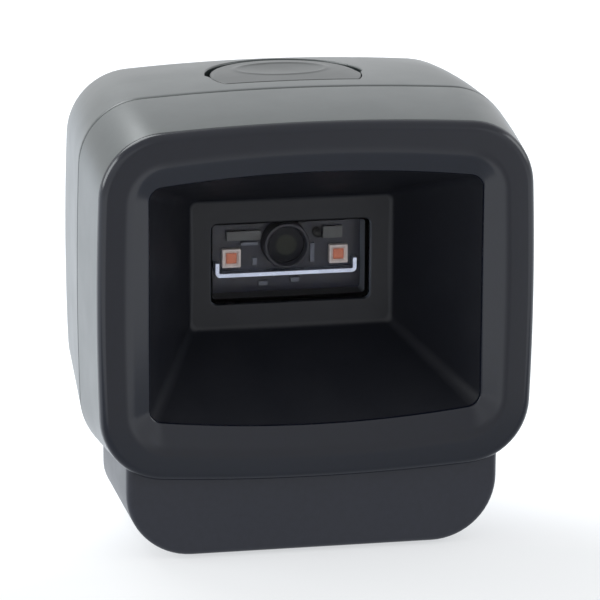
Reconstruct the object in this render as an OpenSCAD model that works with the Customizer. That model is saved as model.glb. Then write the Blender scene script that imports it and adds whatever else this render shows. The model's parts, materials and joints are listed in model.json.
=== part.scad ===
// Hands-free imaging barcode scanner: a two-shell head with a funnel and a sprung key,
// on a base block. Depth is measured back from the front frame's face.

/* [Head] */
// Width of the head at its parting line
head_w = 81; // [79:0.5:90]
// Width of the head where the front frame sits
front_w = 79.8; // [77:0.2:84]
// Depth of the head from the frame's face to the back
head_depth = 60; // [58:0.5:75]
// Height of the top's highest point above the base's underside
head_top = 82.8; // [81:0.2:92]
// Height of the front frame's lower edge above the base's underside
head_bottom = 14.4; // [13:0.2:16]
// Drop of the underside from the frame to the parting line
belly_drop = 1.3; // [0:0.1:2]
// Depth of the parting line
split_d = 20; // [18:0.5:22]
// Depth at which the top is highest
peak_d = 32; // [28:0.5:36]
// Radius of the top's long arc from front to back
top_arc_r = 170; // [140:5:400]
// Corner radius of the head's outline
head_corner_r = 12; // [9:0.5:14]
// Bow of the top and bottom edges
head_bow = 1; // [0:0.1:2]
// Bow of the side edges
side_bow = 0.4; // [0:0.1:1]
// Inward taper of the rear shell's sides, in degrees
side_taper = 4.4; // [0:0.2:6]
// Rise of the rear shell's underside, in degrees
belly_rise = 8; // [4:0.5:9]
// Radius of the head's rounded rear edge
rear_r = 13.6; // [9:0.2:15]
// Wall of the two head shells
shell_wall = 2.2; // [1.6:0.1:2.8]
// Bevel that both shells have at the parting line
seam_bevel = 0.3; // [0.1:0.05:0.6]
// Length of the front shell's tongue inside the rear shell
tongue_len = 1.6; // [1:0.1:2]
// Clearance round that tongue
tongue_clear = 0.1; // [0.05:0.05:0.2]

/* [Front frame] */
// Depth at which the frame's edge meets the front shell
frame_edge_d = 1.6; // [1.2:0.1:2.4]
// Radius of the frame's rounded front edge
frame_edge_r = 1.4; // [0.6:0.1:1.6]
// Width of the frame's flat band at the sides
band_side = 5.5; // [4:0.1:6]
// Width of the frame's flat band at top and bottom
band_top = 5.1; // [4:0.1:6]
// Corner radius of the flat band's inner edge
band_corner_r = 7.3; // [5:0.1:9]
// Bow of the flat band's inner edge
band_bow = 1.5; // [0:0.1:2]
// Depth of the frame's skirt inside the front shell
skirt_d = 5.6; // [4.5:0.1:7]
// Wall of that skirt
skirt_wall = 1.4; // [1:0.1:2]

/* [Reading funnel] */
// Width of the funnel's mouth
mouth_w = 60.8; // [56:0.2:62]
// Height of the funnel's mouth
mouth_h = 46.6; // [42:0.2:47]
// Corner radius of the mouth
mouth_corner_r = 2.6; // [1.5:0.1:4]
// Bow of the mouth's edges
mouth_bow = 1.7; // [0:0.1:2]
// Depth of the mouth's back edge on the frame
mouth_d = 2.4; // [2:0.1:3]
// How far the mouth's middle lies below the window's middle
mouth_drop = 1.1; // [0:0.1:2]
// Height of the window's middle above the base's underside
view_z = 48.6; // [47:0.2:50]
// Depth of the funnel's back panel
panel_d = 24.6; // [23:0.1:26]
// Width of the back panel
panel_w = 38; // [37:0.2:41]
// Height of the back panel
panel_h = 24.5; // [22:0.1:26]
// Corner radius of the back panel
panel_corner_r = 1.5; // [1:0.1:3]
// Wall of the funnel
funnel_wall = 1.6; // [1.2:0.1:2]
// Width of the flange that seats the funnel behind the frame
flange_w = 3.4; // [2.5:0.1:3.6]

/* [Window] */
// Width of the window opening
window_w = 29.9; // [28:0.1:31]
// Height of the window opening
window_h = 15.2; // [14:0.1:17]
// Corner radius of the window opening
window_corner_r = 1.2; // [0.8:0.1:2]
// Length of the tunnel behind the window opening
tunnel_len = 6.5; // [5.5:0.1:8]
// Wall of the tunnel
tunnel_wall = 1.3; // [1:0.1:1.6]
// Set-back of the pane from the back panel
pane_setback = 0.9; // [0.4:0.1:1.5]
// Thickness of the pane
pane_t = 1.2; // [0.8:0.1:1.6]
// Thickness of the seal behind the pane
seal_t = 0.4; // [0.2:0.1:0.6]
// Width of the ledge that carries the seal
ledge_w = 0.6; // [0.4:0.1:0.9]

/* [Imaging engine] */
// Width of the engine board
engine_w = 31.6; // [30:0.2:31.8]
// Height of the engine board
engine_h = 18.4; // [17:0.2:20]
// Thickness of the engine board
engine_board_t = 1.2; // [0.8:0.1:1.6]
// Gap between the tunnel's end and the engine board
engine_gap = 0.1; // [0.05:0.05:0.3]
// Room between the sensor board and the main board
board_room = 3.8; // [3:0.1:5]
// Outer radius of the lens barrel
barrel_r = 4.3; // [3.8:0.1:4.6]
// Wall of the lens barrel
barrel_wall = 0.9; // [0.6:0.1:1.2]
// Distance of the lens barrel's back end from the sensor board
barrel_back = 4.8; // [3.8:0.1:6.5]
// How far the barrel's face lies in front of the board's face
barrel_out = 3; // [2:0.1:3.6]
// Height of the lens above the window's middle
lens_rise = 2.1; // [1:0.1:2.4]
// Thickness of each lens element
lens_t = 1.6; // [1:0.1:2]
// Radius of the lens elements' outer faces
lens_dome_r = 6; // [5:0.5:12]
// Side of each square lamp package
lamp_size = 3.5; // [3:0.1:4]
// Height of a lamp package above the board
lamp_t = 1.2; // [0.8:0.1:1.6]
// Side of the lamp's coloured emitter
emitter_size = 1.9; // [1.4:0.1:2.4]
// Depth of the emitter's pocket
emitter_t = 0.4; // [0.2:0.1:0.6]
// Distance between the two lamps
lamp_spacing = 20.2; // [19:0.1:21]
// How far the lamps lie below the window's middle
lamp_drop = 0.3; // [0:0.1:0.6]
// Length of the bright shield strip
strip_w = 26.6; // [24:0.1:27]
// Thickness of the shield strip
strip_t = 1; // [0.6:0.1:1.2]
// How far the strip stands out from the board
strip_out = 2.2; // [1.5:0.1:2.6]
// How far the strip lies below the window's middle
strip_drop = 3.2; // [2.8:0.1:3.8]
// Height of the strip's upturned ends
strip_tab = 2; // [1:0.1:2.4]
// Sideways place of the grey connector on the engine board
connector_x = -7.8; // [-8.4:0.1:-7.6]
// Width of that connector
connector_w = 6.4; // [5:0.1:6.6]
// Height of that connector
connector_h = 1.7; // [1.2:0.1:2]
// Sideways place of the aiming lens on the engine board
aimer_x = 6.1; // [5.8:0.1:6.2]
// Radius of the aiming lens
aimer_r = 0.9; // [0.6:0.1:1]
// Sideways place of the aiming lamp
aimer_lamp_x = 9; // [9:0.1:9.4]
// Width of the aiming lamp
aimer_lamp_w = 3.6; // [3:0.1:3.8]
// Height of the aiming lamp
aimer_lamp_h = 2.2; // [1.6:0.1:2.4]
// Height of the connector and the aiming parts above the window's middle
upper_row = 3.9; // [3.6:0.1:4.4]
// Width of the sensor board
sensor_board_w = 26; // [24:0.5:28]
// Height of the sensor board
sensor_board_h = 17; // [16:0.5:18]
// Width of the image sensor
sensor_w = 7; // [5:0.1:8]
// Height of the image sensor
sensor_h = 6; // [4:0.1:7]

/* [Key] */
// Radius of the round key
key_r = 13.8; // [12.5:0.1:14]
// Depth of the key's middle
key_d = 31.2; // [31:0.1:33]
// Gap between the key's round edge and the shell
key_gap = 0.9; // [0.6:0.1:1.1]
// Distance of the key's straight front edge from its middle
key_chord = 6.5; // [6:0.1:7]
// Gap along the key's straight edge
key_seam = 0.3; // [0.25:0.05:0.5]
// Thickness of the key
key_t = 2; // [1.6:0.1:2.2]
// Radius of the finger dimple
dimple_r = 8.2; // [6:0.1:9]
// Depth of the finger dimple
dimple_deep = 0.5; // [0.2:0.05:0.7]
// Radius of the key's pivot bar
pivot_r = 1.4; // [1.1:0.1:1.6]
// Clearance round the pivot bar in its ears
pivot_clear = 0.06; // [0.03:0.01:0.1]
// Distance of the pivot behind the key's straight edge
pivot_back = 2.4; // [2:0.1:3]
// Space between the shell's inner face and the pivot bar
pivot_drop = 0.9; // [0.8:0.1:1.4]
// Thickness of each pivot ear
ear_t = 2.4; // [2:0.1:3]
// Radius of the stem that presses the switch
stem_r = 1.5; // [1.2:0.1:2]
// Distance of the stem behind the pivot
stem_back = 9.9; // [9:0.1:11]

/* [Key switch] */
// Side of the square switch housing
switch_size = 6; // [5:0.1:7]
// Height of the switch housing
switch_h = 3.4; // [2.8:0.1:4]
// Radius of the switch plunger
plunger_r = 1.7; // [1.4:0.1:2]
// Clearance round the plunger
plunger_clear = 0.05; // [0.03:0.01:0.1]
// Height of the plunger above the housing
plunger_out = 1.6; // [1.2:0.1:2]
// Length of the plunger inside the housing
plunger_in = 1.2; // [0.8:0.1:1.4]
// Travel room below the plunger
plunger_room = 0.8; // [0.6:0.1:1]
// Gap between the key's stem and the plunger
touch_gap = 0.15; // [0.1:0.05:0.3]
// Height of the key board below the top
key_board_drop = 12; // [11.5:0.1:13]
// Width of the key board
key_board_w = 43; // [42:0.5:46]
// Depth of the key board from front to back
key_board_l = 12; // [11:0.5:13]
// Thickness of the small boards
board_t = 1.2; // [0.8:0.1:1.6]
// Distance of each key board post from the middle
key_post_x = 18.6; // [18:0.1:19.5]
// Radius of the key board posts
key_post_r = 2.4; // [2:0.1:2.8]

/* [Main board] */
// Distance of the main board's front face from the head's back
main_back_room = 11; // [10.4:0.1:11.4]
// Width of the main board
main_w = 52; // [48:0.5:53]
// Height of the main board
main_h = 44; // [40:0.5:46]
// Thickness of the main board
main_t = 1.6; // [1:0.1:2]
// Distance of the main board's posts from its middle, sideways
main_post_x = 19; // [16:0.5:20]
// Distance of the main board's posts from its middle, up and down
main_post_z = 13; // [11:0.5:14]
// Radius of the main board's posts
main_post_r = 2.6; // [2:0.1:3]
// Side of the processor
processor_size = 13; // [10:0.5:14]
// Thickness of the chips
chip_t = 1.2; // [0.8:0.1:1.6]
// Width of the memory chip
memory_w = 9; // [7:0.5:10]
// Height of the memory chip
memory_h = 7; // [5:0.5:8]
// Number of capacitors
capacitor_count = 3; // [1:1:3]
// Radius of each capacitor
capacitor_r = 2; // [1.5:0.1:2.2]
// Height of each capacitor
capacitor_h = 4; // [3:0.1:5]
// Radius of the buzzer
buzzer_r = 6; // [5:0.1:6.5]
// Height of the buzzer
buzzer_h = 5.4; // [4:0.1:5.6]
// Thickness of the flat ribbons
ribbon_t = 0.2; // [0.1:0.05:0.3]
// Width of the flat ribbons
ribbon_w = 10; // [6:0.5:12]

/* [Base] */
// Width of the base block
base_w = 68.6; // [66:0.2:70]
// Depth at which the base block starts
base_front_d = 3.5; // [3:0.1:5]
// Length of the base block from front to back
base_len = 46.5; // [45.5:0.1:48]
// Radius of the base's large lower corners
base_corner_r = 12; // [10:0.5:12]
// Radius of the base's rear corners seen from above
base_rear_r = 22; // [16:0.5:23]
// Radius of the base's front corners seen from above
base_front_r = 1.2; // [0.6:0.1:2]
// Wall of the base
base_wall = 2.2; // [1.8:0.1:2.6]
// Thickness of the base's floor rim
floor_t = 2.6; // [2.4:0.1:3]
// Gap between the head's underside and the base
saddle_gap = 0.1; // [0.05:0.05:0.2]
// Thickness of the base's top under the head
deck_t = 2.2; // [1.8:0.1:2.4]

/* [Bottom cover] */
// Width of the bottom cover
cover_w = 42; // [40:0.5:43]
// Length of the bottom cover
cover_l = 41; // [39:0.5:41.5]
// Thickness of the bottom cover
cover_t = 1.6; // [1.4:0.1:1.8]
// Clearance round the cover in its recess
cover_clear = 0.15; // [0.1:0.05:0.3]
// Width of the ledge that the cover seats on
cover_ledge = 3; // [2.5:0.1:3.5]
// Corner radius of the cover
cover_corner_r = 4; // [3:0.5:6]
// Radius of each rubber foot
foot_r = 4; // [3:0.1:4.5]
// Thickness of each rubber foot
foot_t = 1.2; // [1:0.1:1.4]
// How far the feet stand out below the cover
foot_out = 0.6; // [0.4:0.1:0.8]
// Distance of each foot's middle from the cover's edges
foot_inset = 5.5; // [5:0.1:6]
// Distance of the cover's screws from its sides
cover_screw_inset = 3.2; // [3.2:0.1:3.6]
// Half the distance between the cover's screws, front to back
cover_screw_step = 7; // [6:0.1:7]

/* [Stand thread] */
// Gap between the boss of the stand thread and the cover's ledge
insert_gap = 0.4; // [0.3:0.1:1]
// Radius of the stand thread's bore, measured on its crests
insert_bore_r = 2.6; // [2.5:0.05:2.8]
// Outer radius of the brass insert
insert_r = 4.4; // [4:0.1:4.6]
// Length of the brass insert
insert_len = 6.4; // [5:0.1:7]
// Wall of the boss round the insert
insert_wall = 1.6; // [1.2:0.1:2]

/* [Cable socket] */
// Width of the socket body
socket_w = 15.4; // [15:0.1:17]
// Height of the socket body
socket_h = 8.8; // [8.6:0.1:9]
// Length of the socket body
socket_len = 11.8; // [11:0.1:12.5]
// Width of the plug cavity
plug_w = 11.9; // [11.7:0.1:12.2]
// Height of the plug cavity
plug_h = 6.8; // [6.6:0.1:7]
// Depth of the plug cavity
plug_len = 10.4; // [9.5:0.1:10.6]
// Margin of the wall's cut-out round the plug cavity
plug_margin = 0.15; // [0.1:0.05:0.3]
// Number of contacts
contact_count = 10; // [6:1:10]
// Distance between contacts
contact_pitch = 1.02; // [0.9:0.01:1.1]
// Width of the socket board
socket_board_w = 29; // [26:0.5:29.5]
// Length of the socket board
socket_board_l = 25.4; // [24:0.1:26]
// Height of the posts under the socket board
socket_post_h = 1.2; // [0.8:0.1:1.4]

/* [Screws] */
// Radius of the joining screws' threads
screw_r = 1.25; // [1:0.05:1.4]
// Radius of the joining screws' heads
screw_head_r = 2.5; // [2.2:0.1:2.7]
// Height of the joining screws' heads
screw_head_h = 1.7; // [1.4:0.1:2]
// Clearance of a screw in the part that it holds down
screw_clear = 0.3; // [0.2:0.05:0.5]
// Radius of the small board screws' threads
small_screw_r = 0.9; // [0.7:0.05:1]
// Radius of the small board screws' heads
small_head_r = 1.8; // [1.5:0.1:2]
// Height of the small board screws' heads
small_head_h = 1; // [0.8:0.1:1.2]
// Width of the cross slots in the screw heads
cross_w = 0.6; // [0.4:0.1:0.8]
// Sideways distance of the shell screws from the middle
shell_screw_x = 31.5; // [31:0.1:32]
// Distance of the upper shell screws below the top
shell_screw_top = 11.4; // [10:0.1:12]
// Distance of the lower shell screws above the head's lower edge
shell_screw_low = 10.5; // [10:0.1:11]
// Radius of the front shell's screw bosses
shell_boss_r = 3.2; // [2.8:0.1:3.4]
// Radius of the screw wells in the rear shell
well_r = 2.9; // [2.8:0.1:3.1]
// Wall of the screw wells
well_wall = 1.3; // [1:0.1:1.6]
// Depth at which the front shell's bosses end
boss_end_d = 36; // [33:0.5:37]
// Sideways distance of the neck screws from the middle
neck_screw_x = 24; // [22:0.5:25]
// Depth of the front neck screws
neck_front_d = 14; // [12:0.5:15]
// Depth of the rear neck screws
neck_rear_d = 35; // [33:0.5:37]
// Radius of the neck screw bosses
neck_boss_r = 3; // [2.6:0.1:3.4]
// Height of the neck screw bosses above the shell's inner face
neck_boss_h = 6; // [5:0.1:7]

/* [Hidden] */
$fn = 48;
eps = 0.01;
corner_steps = 8;
bow_steps = 6;
side_steps = 3;
arc_steps = 6;

// How far a boss, post or rib sinks into the wall that carries it
bite = 0.3;
// How far a cut runs past the face that it opens
cut = 1;
// Smallest corner radius of an inner outline
corner_min = 0.2;
// Share of the rear rounding by which the outline's corners tighten
corner_ease = 0.3;
// Room left in a pilot hole past a screw's tip, and at a boss's end
tip_room = 1;
// Length of thread in a shell's boss, and of a small screw's pilot hole
screw_hold = 10;
small_hold = 5;
// Length of a cross slot, in radii of its screw head
cross_l = 1.2;
// Clearance of the small screws in the boards
board_clear = 0.1;
// Floor of the rear shell's screw wells
well_floor_t = 2.4;
// Ribs from the front shell's bosses to its walls: where they start, and their thickness
boss_rib_d = 12;
rib_t = 1.6;
// Height of the base's saddle round the head's underside
saddle_h = 12;
// Pivot ears: their length, and their distance from the key's slot
ear_l = 5.4;
ear_gap = 0.5;
// Lugs that hang the key's pivot bar: sideways place and thickness
lug_x = 10.5;
lug_t = 2;
// Fall of the curved top towards the key's ends
key_fall = 0.4;
// Posts that carry the engine, and the chassis lugs on them
engine_post_r = 2.4;
engine_lug_t = 2.4;
// Chassis: its distance from the posts and from the engine board's edges
chassis_gap = 1;
chassis_margin = 0.7;
// Pocket for the image sensor in the chassis
pocket_w = 12;
pocket_h = 9;
sensor_t = 1;
// Clearance of the lens barrel in the engine board, and set-back of its lenses
barrel_clear = 0.15;
lens_inset = 0.8;
// Aiming lens: its length and the radius of its dome
aimer_len = 2;
aimer_dome_r = 1.3;
// Thickness of the connector and of the aiming lamp, and of the strip's ends
part_t = 1;
strip_tab_t = 0.8;
// Small parts on the engine board: sideways place, height, width, height, thickness
small_parts = [
    [-6.6, 2.2, 3.2, 0.6, 0.5],
    [5.2, 0.1, 0.8, 3.6, 0.7],
    [-5.6, -1.2, 0.8, 1.4, 0.4],
    [2, -5, 1.6, 0.8, 0.5],
    [-4, -5.4, 1.6, 0.8, 0.5]
];
// Places on the main board, from its middle
processor_x = 8;
memory_x = -9;
memory_low = 10;
capacitor_x = 2;
capacitor_pitch = 5;
capacitor_drop = 9.5;
buzzer_x = -9;
buzzer_up = 8;
buzzer_port_r = 1;
// Cover: its distance from the front wall, its screw bosses, the floor over the insert
cover_set_in = 0.3;
cover_boss_r = 2.8;
cover_boss_h = 6;
insert_floor = 1;
// Socket board: its posts, their distance from its edges, its gap to the back wall
socket_post_r = 2;
socket_post_in = 2.6;
socket_post_hole = 0.6;
socket_board_gap = 0.2;
// Contacts: thickness, and how much shorter they are than the plug cavity
contact_t = 0.2;
contact_short = 2;
// Slot in the neck for the ribbon
slot_d = 33;
slot_l = 5;
slot_margin = 3;
// Ribbons: length of an end on its board, height of a turn over a floor, drop of the engine's turn
ribbon_end = 4;
ribbon_lift = 1;
ribbon_turn_drop = 14;

// Heights are measured from the surface that the feet stand on.
under_z = foot_out;
top_peak_z = under_z + head_top;
front_low_z = under_z + head_bottom;
split_low_z = front_low_z - belly_drop;
axis_z = under_z + view_z;
mouth_z = axis_z - mouth_drop;
lens_z = axis_z + lens_rise;
rear_arc_d = head_depth - rear_r;
pane_d = panel_d + pane_setback;
seal_d = pane_d + pane_t;
ledge_d = seal_d + seal_t;
tunnel_end_d = panel_d + tunnel_len;
panel_back_d = panel_d + funnel_wall;
engine_d = tunnel_end_d + engine_gap;
chassis_d = engine_d + engine_board_t;
main_d = head_depth - main_back_room;
sensor_board_d = main_d - board_room - board_t;
chassis_len = sensor_board_d - chassis_d;
barrel_d = engine_d - barrel_out;
engine_post_x = window_w / 2 + tunnel_wall + engine_post_r - bite;
barrel_end_d = sensor_board_d - barrel_back;
main_z = (low_z(head_depth) + top_z(head_depth)) / 2;
main_back_d = main_d + main_t;
cover_z = under_z + cover_t;
cover_front_d = base_front_d + base_wall + cover_set_in;
cover_mid_d = cover_front_d + cover_l / 2;
base_back_d = base_front_d + base_len;
socket_board_z = cover_z + socket_post_h;
socket_z = socket_board_z + board_t;
socket_back_d = base_back_d - base_wall;
plug_z = socket_z + (socket_h - plug_h) / 2;
key_edge_d = key_d - key_chord;
pivot_d = key_edge_d + key_seam / 2 + pivot_back;
pivot_z = top_z(pivot_d) - shell_wall - pivot_drop - pivot_r;
stem_d = pivot_d + stem_back;
key_board_z = top_peak_z - key_board_drop;
switch_z = key_board_z + board_t;
plunger_top_z = switch_z + switch_h + plunger_out;
ear_x = sqrt(pow(key_r + key_gap, 2) - pow(key_d - pivot_d, 2)) + ear_gap;
bar_half = ear_x + ear_t;
shell_screw_high_z = top_peak_z - shell_screw_top;
shell_screw_low_z = front_low_z + shell_screw_low;
key_under_z = top_peak_z - key_t - key_fall;
dimple_ball_r = (pow(dimple_r, 2) + pow(dimple_deep, 2)) / (2 * dimple_deep);
insert_mid_d = cover_front_d + cover_ledge + insert_gap + insert_r + insert_wall;
socket_post_d = socket_back_d - socket_board_l + socket_post_in;
foot_x = cover_w / 2 - foot_inset;
front_stations = [frame_edge_d, skirt_d, (skirt_d + split_d) / 2];
rear_stations = [for (i = [1 : 3]) mix(split_d, rear_arc_d, i / 4)];
slot_w = ribbon_w + 2 * slot_margin;
base_top_z = split_low_z + saddle_h + deck_t;
saddle_top_z = split_low_z + neck_boss_h;

// Shapes of the head's section, by depth

function mix(a, b, t) = a + (b - a) * t;

// Share of the way from the frame's edge to the parting line
function front_share(d) = (d - frame_edge_d) / (split_d - frame_edge_d);

// How far the surface at wall depth w lies inside the head's straight outer walls
function inset(d, w) =
    d > rear_arc_d ? rear_r - sqrt(max(0, pow(rear_r - w, 2) - pow(d - rear_arc_d, 2))) : w;

function half_w(d) =
    d < split_d ? mix(front_w, head_w, front_share(d)) / 2
    : head_w / 2 - tan(side_taper) * (d - split_d);

function top_z(d) = top_peak_z - pow(d - peak_d, 2) / (2 * top_arc_r);

function low_z(d) =
    d < split_d ? mix(front_low_z, split_low_z, front_share(d))
    : split_low_z + tan(belly_rise) * (d - split_d);

// Points of a quarter circle, without its last one
function corner(c, r, a0) =
    [
        for (i = [0 : corner_steps - 1])
            let (a = a0 + 90 * i / corner_steps) c + r * [cos(a), sin(a)]
    ];

// Points of an edge from a to b that bows out by the vector v, without its last one
function bowed(a, b, v, n) =
    [for (i = [0 : n - 1]) a + (b - a) * i / n + v * 4 * (i / n) * (1 - i / n)];

// Rounded rectangle at depth d with bowed edges, as points in space
function outline(d, hw, low, high, r, bow, sbow) =
    let (
        cx = hw - sbow - r,
        cz0 = low + bow + r,
        cz1 = high - bow - r,
        flat = concat(
            corner([cx, cz0], r, -90),
            bowed([cx + r, cz0], [cx + r, cz1], [sbow, 0], side_steps),
            corner([cx, cz1], r, 0),
            bowed([cx, cz1 + r], [-cx, cz1 + r], [0, bow], bow_steps),
            corner([-cx, cz1], r, 90),
            bowed([-cx - r, cz1], [-cx - r, cz0], [-sbow, 0], side_steps),
            corner([-cx, cz0], r, 180),
            bowed([-cx, cz0 - r], [cx, cz0 - r], [0, -bow], bow_steps)
        )
    )
    [for (p = flat) [p[0], d, p[1]]];

// Section of the head at depth d, w inside its outer surface
function head_ring(d, w) =
    let (s = inset(d, w))
    outline(d, half_w(d) - s, low_z(d) + s, top_z(d) - s,
        head_corner_r - corner_ease * (s - w) - w, head_bow, side_bow);

// Sections of the rear edge's quarter round, w inside the outer surface
function rear_rings(w) =
    [for (i = [0 : arc_steps]) head_ring(rear_arc_d + (rear_r - w) * sin(90 * i / arc_steps), w)];

function reversed(list) = [for (i = [len(list) - 1 : -1 : 0]) list[i]];

function mouth_ring(d, grow) =
    outline(d, mouth_w / 2 + grow, mouth_z - mouth_h / 2 - grow, mouth_z + mouth_h / 2 + grow,
        mouth_corner_r + grow, mouth_bow, 0);

function panel_ring(d, grow) =
    outline(d, panel_w / 2 + grow, axis_z - panel_h / 2 - grow, axis_z + panel_h / 2 + grow,
        panel_corner_r + grow, 0, 0);

function window_ring(d, grow) =
    outline(d, window_w / 2 + grow, axis_z - window_h / 2 - grow, axis_z + window_h / 2 + grow,
        max(window_corner_r + grow, corner_min), 0, 0);

// Height of the seat that a neck screw's head bears on, and of its boss's top
function neck_seat_z(d) = low_z(d) - saddle_gap - deck_t;
function neck_top_z(d) = low_z(d) + shell_wall + head_bow + neck_boss_h;

// Outline of the frame's flat band, side and top given apart
function band_ring(d) =
    outline(d, front_w / 2 - band_side, front_low_z + band_top, top_z(frame_edge_d) - band_top,
        band_corner_r, band_bow, side_bow);

// Skin over a list of sections: each inner one runs backwards, and the ends are capped or joined
module loft(rings, joined = false) {
    n = len(rings[0]);
    count = len(rings);
    last = joined ? count - 1 : count - 2;
    sides = [
        for (k = [0 : last])
            for (i = [0 : n - 1])
                let (
                    a = k * n + i,
                    b = k * n + (i + 1) % n,
                    c = ((k + 1) % count) * n + (i + 1) % n,
                    e = ((k + 1) % count) * n + i
                )
                each [[a, b, c], [a, c, e]]
    ];
    caps = joined ? [] : [
        [for (i = [n - 1 : -1 : 0]) i],
        [for (i = [0 : n - 1]) (count - 1) * n + i]
    ];
    polyhedron(points = [for (r = rings) each r], faces = concat(sides, caps), convexity = 8);
}

// Puts depth 0 at the frame's face, so that the head's middle lies over the origin
module placed() {
    translate([0, -head_depth / 2, 0]) children();
}

// Cylinder along the depth, from d0 to d1
module rod(x, z, r, d0, d1) {
    translate([x, d0, z]) rotate([-90, 0, 0]) cylinder(r = r, h = d1 - d0);
}

// Upright cylinder, from z0 to z1
module post(x, d, r, z0, z1) {
    translate([x, d, z0]) cylinder(r = r, h = z1 - z0);
}

// Box centred on x, with its low depth and height corner given
module block(x, d, z, size) {
    translate([x - size[0] / 2, d, z]) cube(size);
}

// Plate between two depths with the outline of a section
module slab(ring, d0, d1) {
    translate([0, d1, 0]) rotate([90, 0, 0]) linear_extrude(d1 - d0) polygon([for (p = ring) [p[0], p[2]]]);
}

module head_solid(w) {
    loft(concat([head_ring(-cut, w), head_ring(split_d, w), head_ring(peak_d, w)], rear_rings(w)));
}

// Rounded plate seen from above, from d0 over length l, with its own front and rear corners
module plan(w, d0, l, r_front, r_rear) {
    for (side = [-1, 1]) {
        translate([side * (w / 2 - r_front), d0 + r_front]) circle(r = r_front);
        translate([side * (w / 2 - r_rear), d0 + l - r_rear]) circle(r = r_rear);
    }
    translate([-w / 2 + r_front, d0]) square([w - 2 * r_front, r_front]);
    translate([-w / 2, d0 + r_front]) square([w, l - r_front - r_rear]);
    translate([-w / 2 + r_rear, d0 + l - r_rear]) square([w - 2 * r_rear, r_rear]);
}

// Front view of the base: a U with round lower corners, from height z0 up to z1
module u_front(w, z0, z1, r) {
    for (side = [-1, 1]) translate([side * (w / 2 - r), z0 + r]) circle(r = r);
    translate([-w / 2 + r, z0]) square([w - 2 * r, r]);
    translate([-w / 2, z0 + r]) square([w, z1 - z0 - r]);
}

// The base's outer form, w inside its walls
module base_form(w, z0) {
    intersection() {
        translate([0, base_back_d + cut, 0]) rotate([90, 0, 0]) linear_extrude(base_len + 2 * cut)
            u_front(base_w - 2 * w, z0, base_top_z, base_corner_r - w);
        linear_extrude(base_top_z + cut)
            plan(base_w - 2 * w, base_front_d + w, base_len - 2 * w,
                max(base_front_r - w, corner_min), base_rear_r - w);
    }
}

// Screw with its head above height 0 and its thread below, over length l
module screw(r, l, head_r, head_h) {
    difference() {
        cylinder(r = head_r, h = head_h);
        for (a = [0, 90])
            translate([0, 0, head_h]) rotate([0, 0, a])
                cube([head_r * cross_l, cross_w, head_h], center = true);
    }
    translate([0, 0, -l]) cylinder(r = r, h = l);
}

// Flat ribbon of even thickness along square-cornered points given as [depth, height]
module ribbon(points) {
    n = len(points);
    function side_of(i) = let (v = points[i + 1] - points[i]) [-v[1], v[0]] / norm(v);
    function shift(i) =
        i == 0 ? side_of(0) : i == n - 1 ? side_of(n - 2) : side_of(i - 1) + side_of(i);
    left = [for (i = [0 : n - 1]) points[i] + shift(i) * ribbon_t / 2];
    right = [for (i = [n - 1 : -1 : 0]) points[i] - shift(i) * ribbon_t / 2];
    rotate([90, 0, 90]) linear_extrude(ribbon_w, center = true) polygon(concat(left, right));
}

// Shape of the key from above, r its round edge and front the depth of its straight edge
module key_plan(r, front) {
    intersection() {
        translate([0, key_d]) circle(r = r, $fn = 96);
        translate([-r, front]) square([2 * r, 2 * r]);
    }
}

// Slot for the key: a narrow seam round its front, and a wide gap round its rear half
module key_slot() {
    key_plan(key_r + key_seam, key_edge_d - key_seam / 2);
    intersection() {
        key_plan(key_r + key_gap, key_edge_d);
        translate([-2 * key_r, key_d]) square(4 * key_r);
    }
}

module at_shell_screws() {
    for (x = [-shell_screw_x, shell_screw_x])
        for (z = [shell_screw_low_z, shell_screw_high_z])
            translate([x, 0, z]) children();
}

module at_neck_screws() {
    for (x = [-neck_screw_x, neck_screw_x])
        for (d = [neck_front_d, neck_rear_d])
            translate([x, d, 0]) children();
}

module at_cover_screws() {
    for (side = [-1, 1])
        for (step = [-cover_screw_step, cover_screw_step])
            translate([side * (cover_w / 2 - cover_screw_inset), cover_mid_d + step, 0]) children();
}

module at_main_posts() {
    for (x = [-main_post_x, main_post_x])
        for (z = [-main_post_z, main_post_z])
            translate([x, 0, main_z + z]) children();
}

// Upright holes of the neck screws, from height z0 to z1
module neck_holes(r, d, z0, z1) {
    for (x = [-neck_screw_x, neck_screw_x]) post(x, d, r, z0, z1);
}

module front_frame() {
    seat = shell_wall + tongue_clear;
    color("#16171c") placed() loft(concat(
        [for (i = [0 : 3]) head_ring(frame_edge_r * (1 - cos(30 * i)), frame_edge_r * (1 - sin(30 * i)))],
        [
            head_ring(frame_edge_d, 0),
            head_ring(frame_edge_d, seat),
            head_ring(skirt_d, seat),
            head_ring(skirt_d, seat + skirt_wall),
            head_ring(mouth_d, seat + skirt_wall),
            mouth_ring(mouth_d, 0),
            mouth_ring(frame_edge_d, 0),
            band_ring(0)
        ]
    ), true);
}

module reading_funnel() {
    color("#1b1c20") placed() difference() {
        union() {
            loft([
                mouth_ring(mouth_d, flange_w),
                mouth_ring(mouth_d + funnel_wall, flange_w),
                mouth_ring(mouth_d + funnel_wall, funnel_wall),
                panel_ring(panel_back_d, funnel_wall),
                window_ring(panel_back_d, tunnel_wall),
                window_ring(tunnel_end_d, tunnel_wall),
                window_ring(tunnel_end_d, -ledge_w),
                window_ring(ledge_d, -ledge_w),
                window_ring(ledge_d, 0),
                window_ring(panel_d, 0),
                panel_ring(panel_d, 0),
                mouth_ring(mouth_d, 0)
            ], true);
            for (x = [-engine_post_x, engine_post_x])
                rod(x, axis_z, engine_post_r, panel_d + funnel_wall / 2, chassis_d);
        }
        for (x = [-engine_post_x, engine_post_x])
            rod(x, axis_z, small_screw_r, panel_back_d, chassis_d + cut);
    }
}

module exit_window() {
    color("#9aa3ad", 0.4) placed() slab(window_ring(pane_d, 0), pane_d, seal_d);
}

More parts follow.
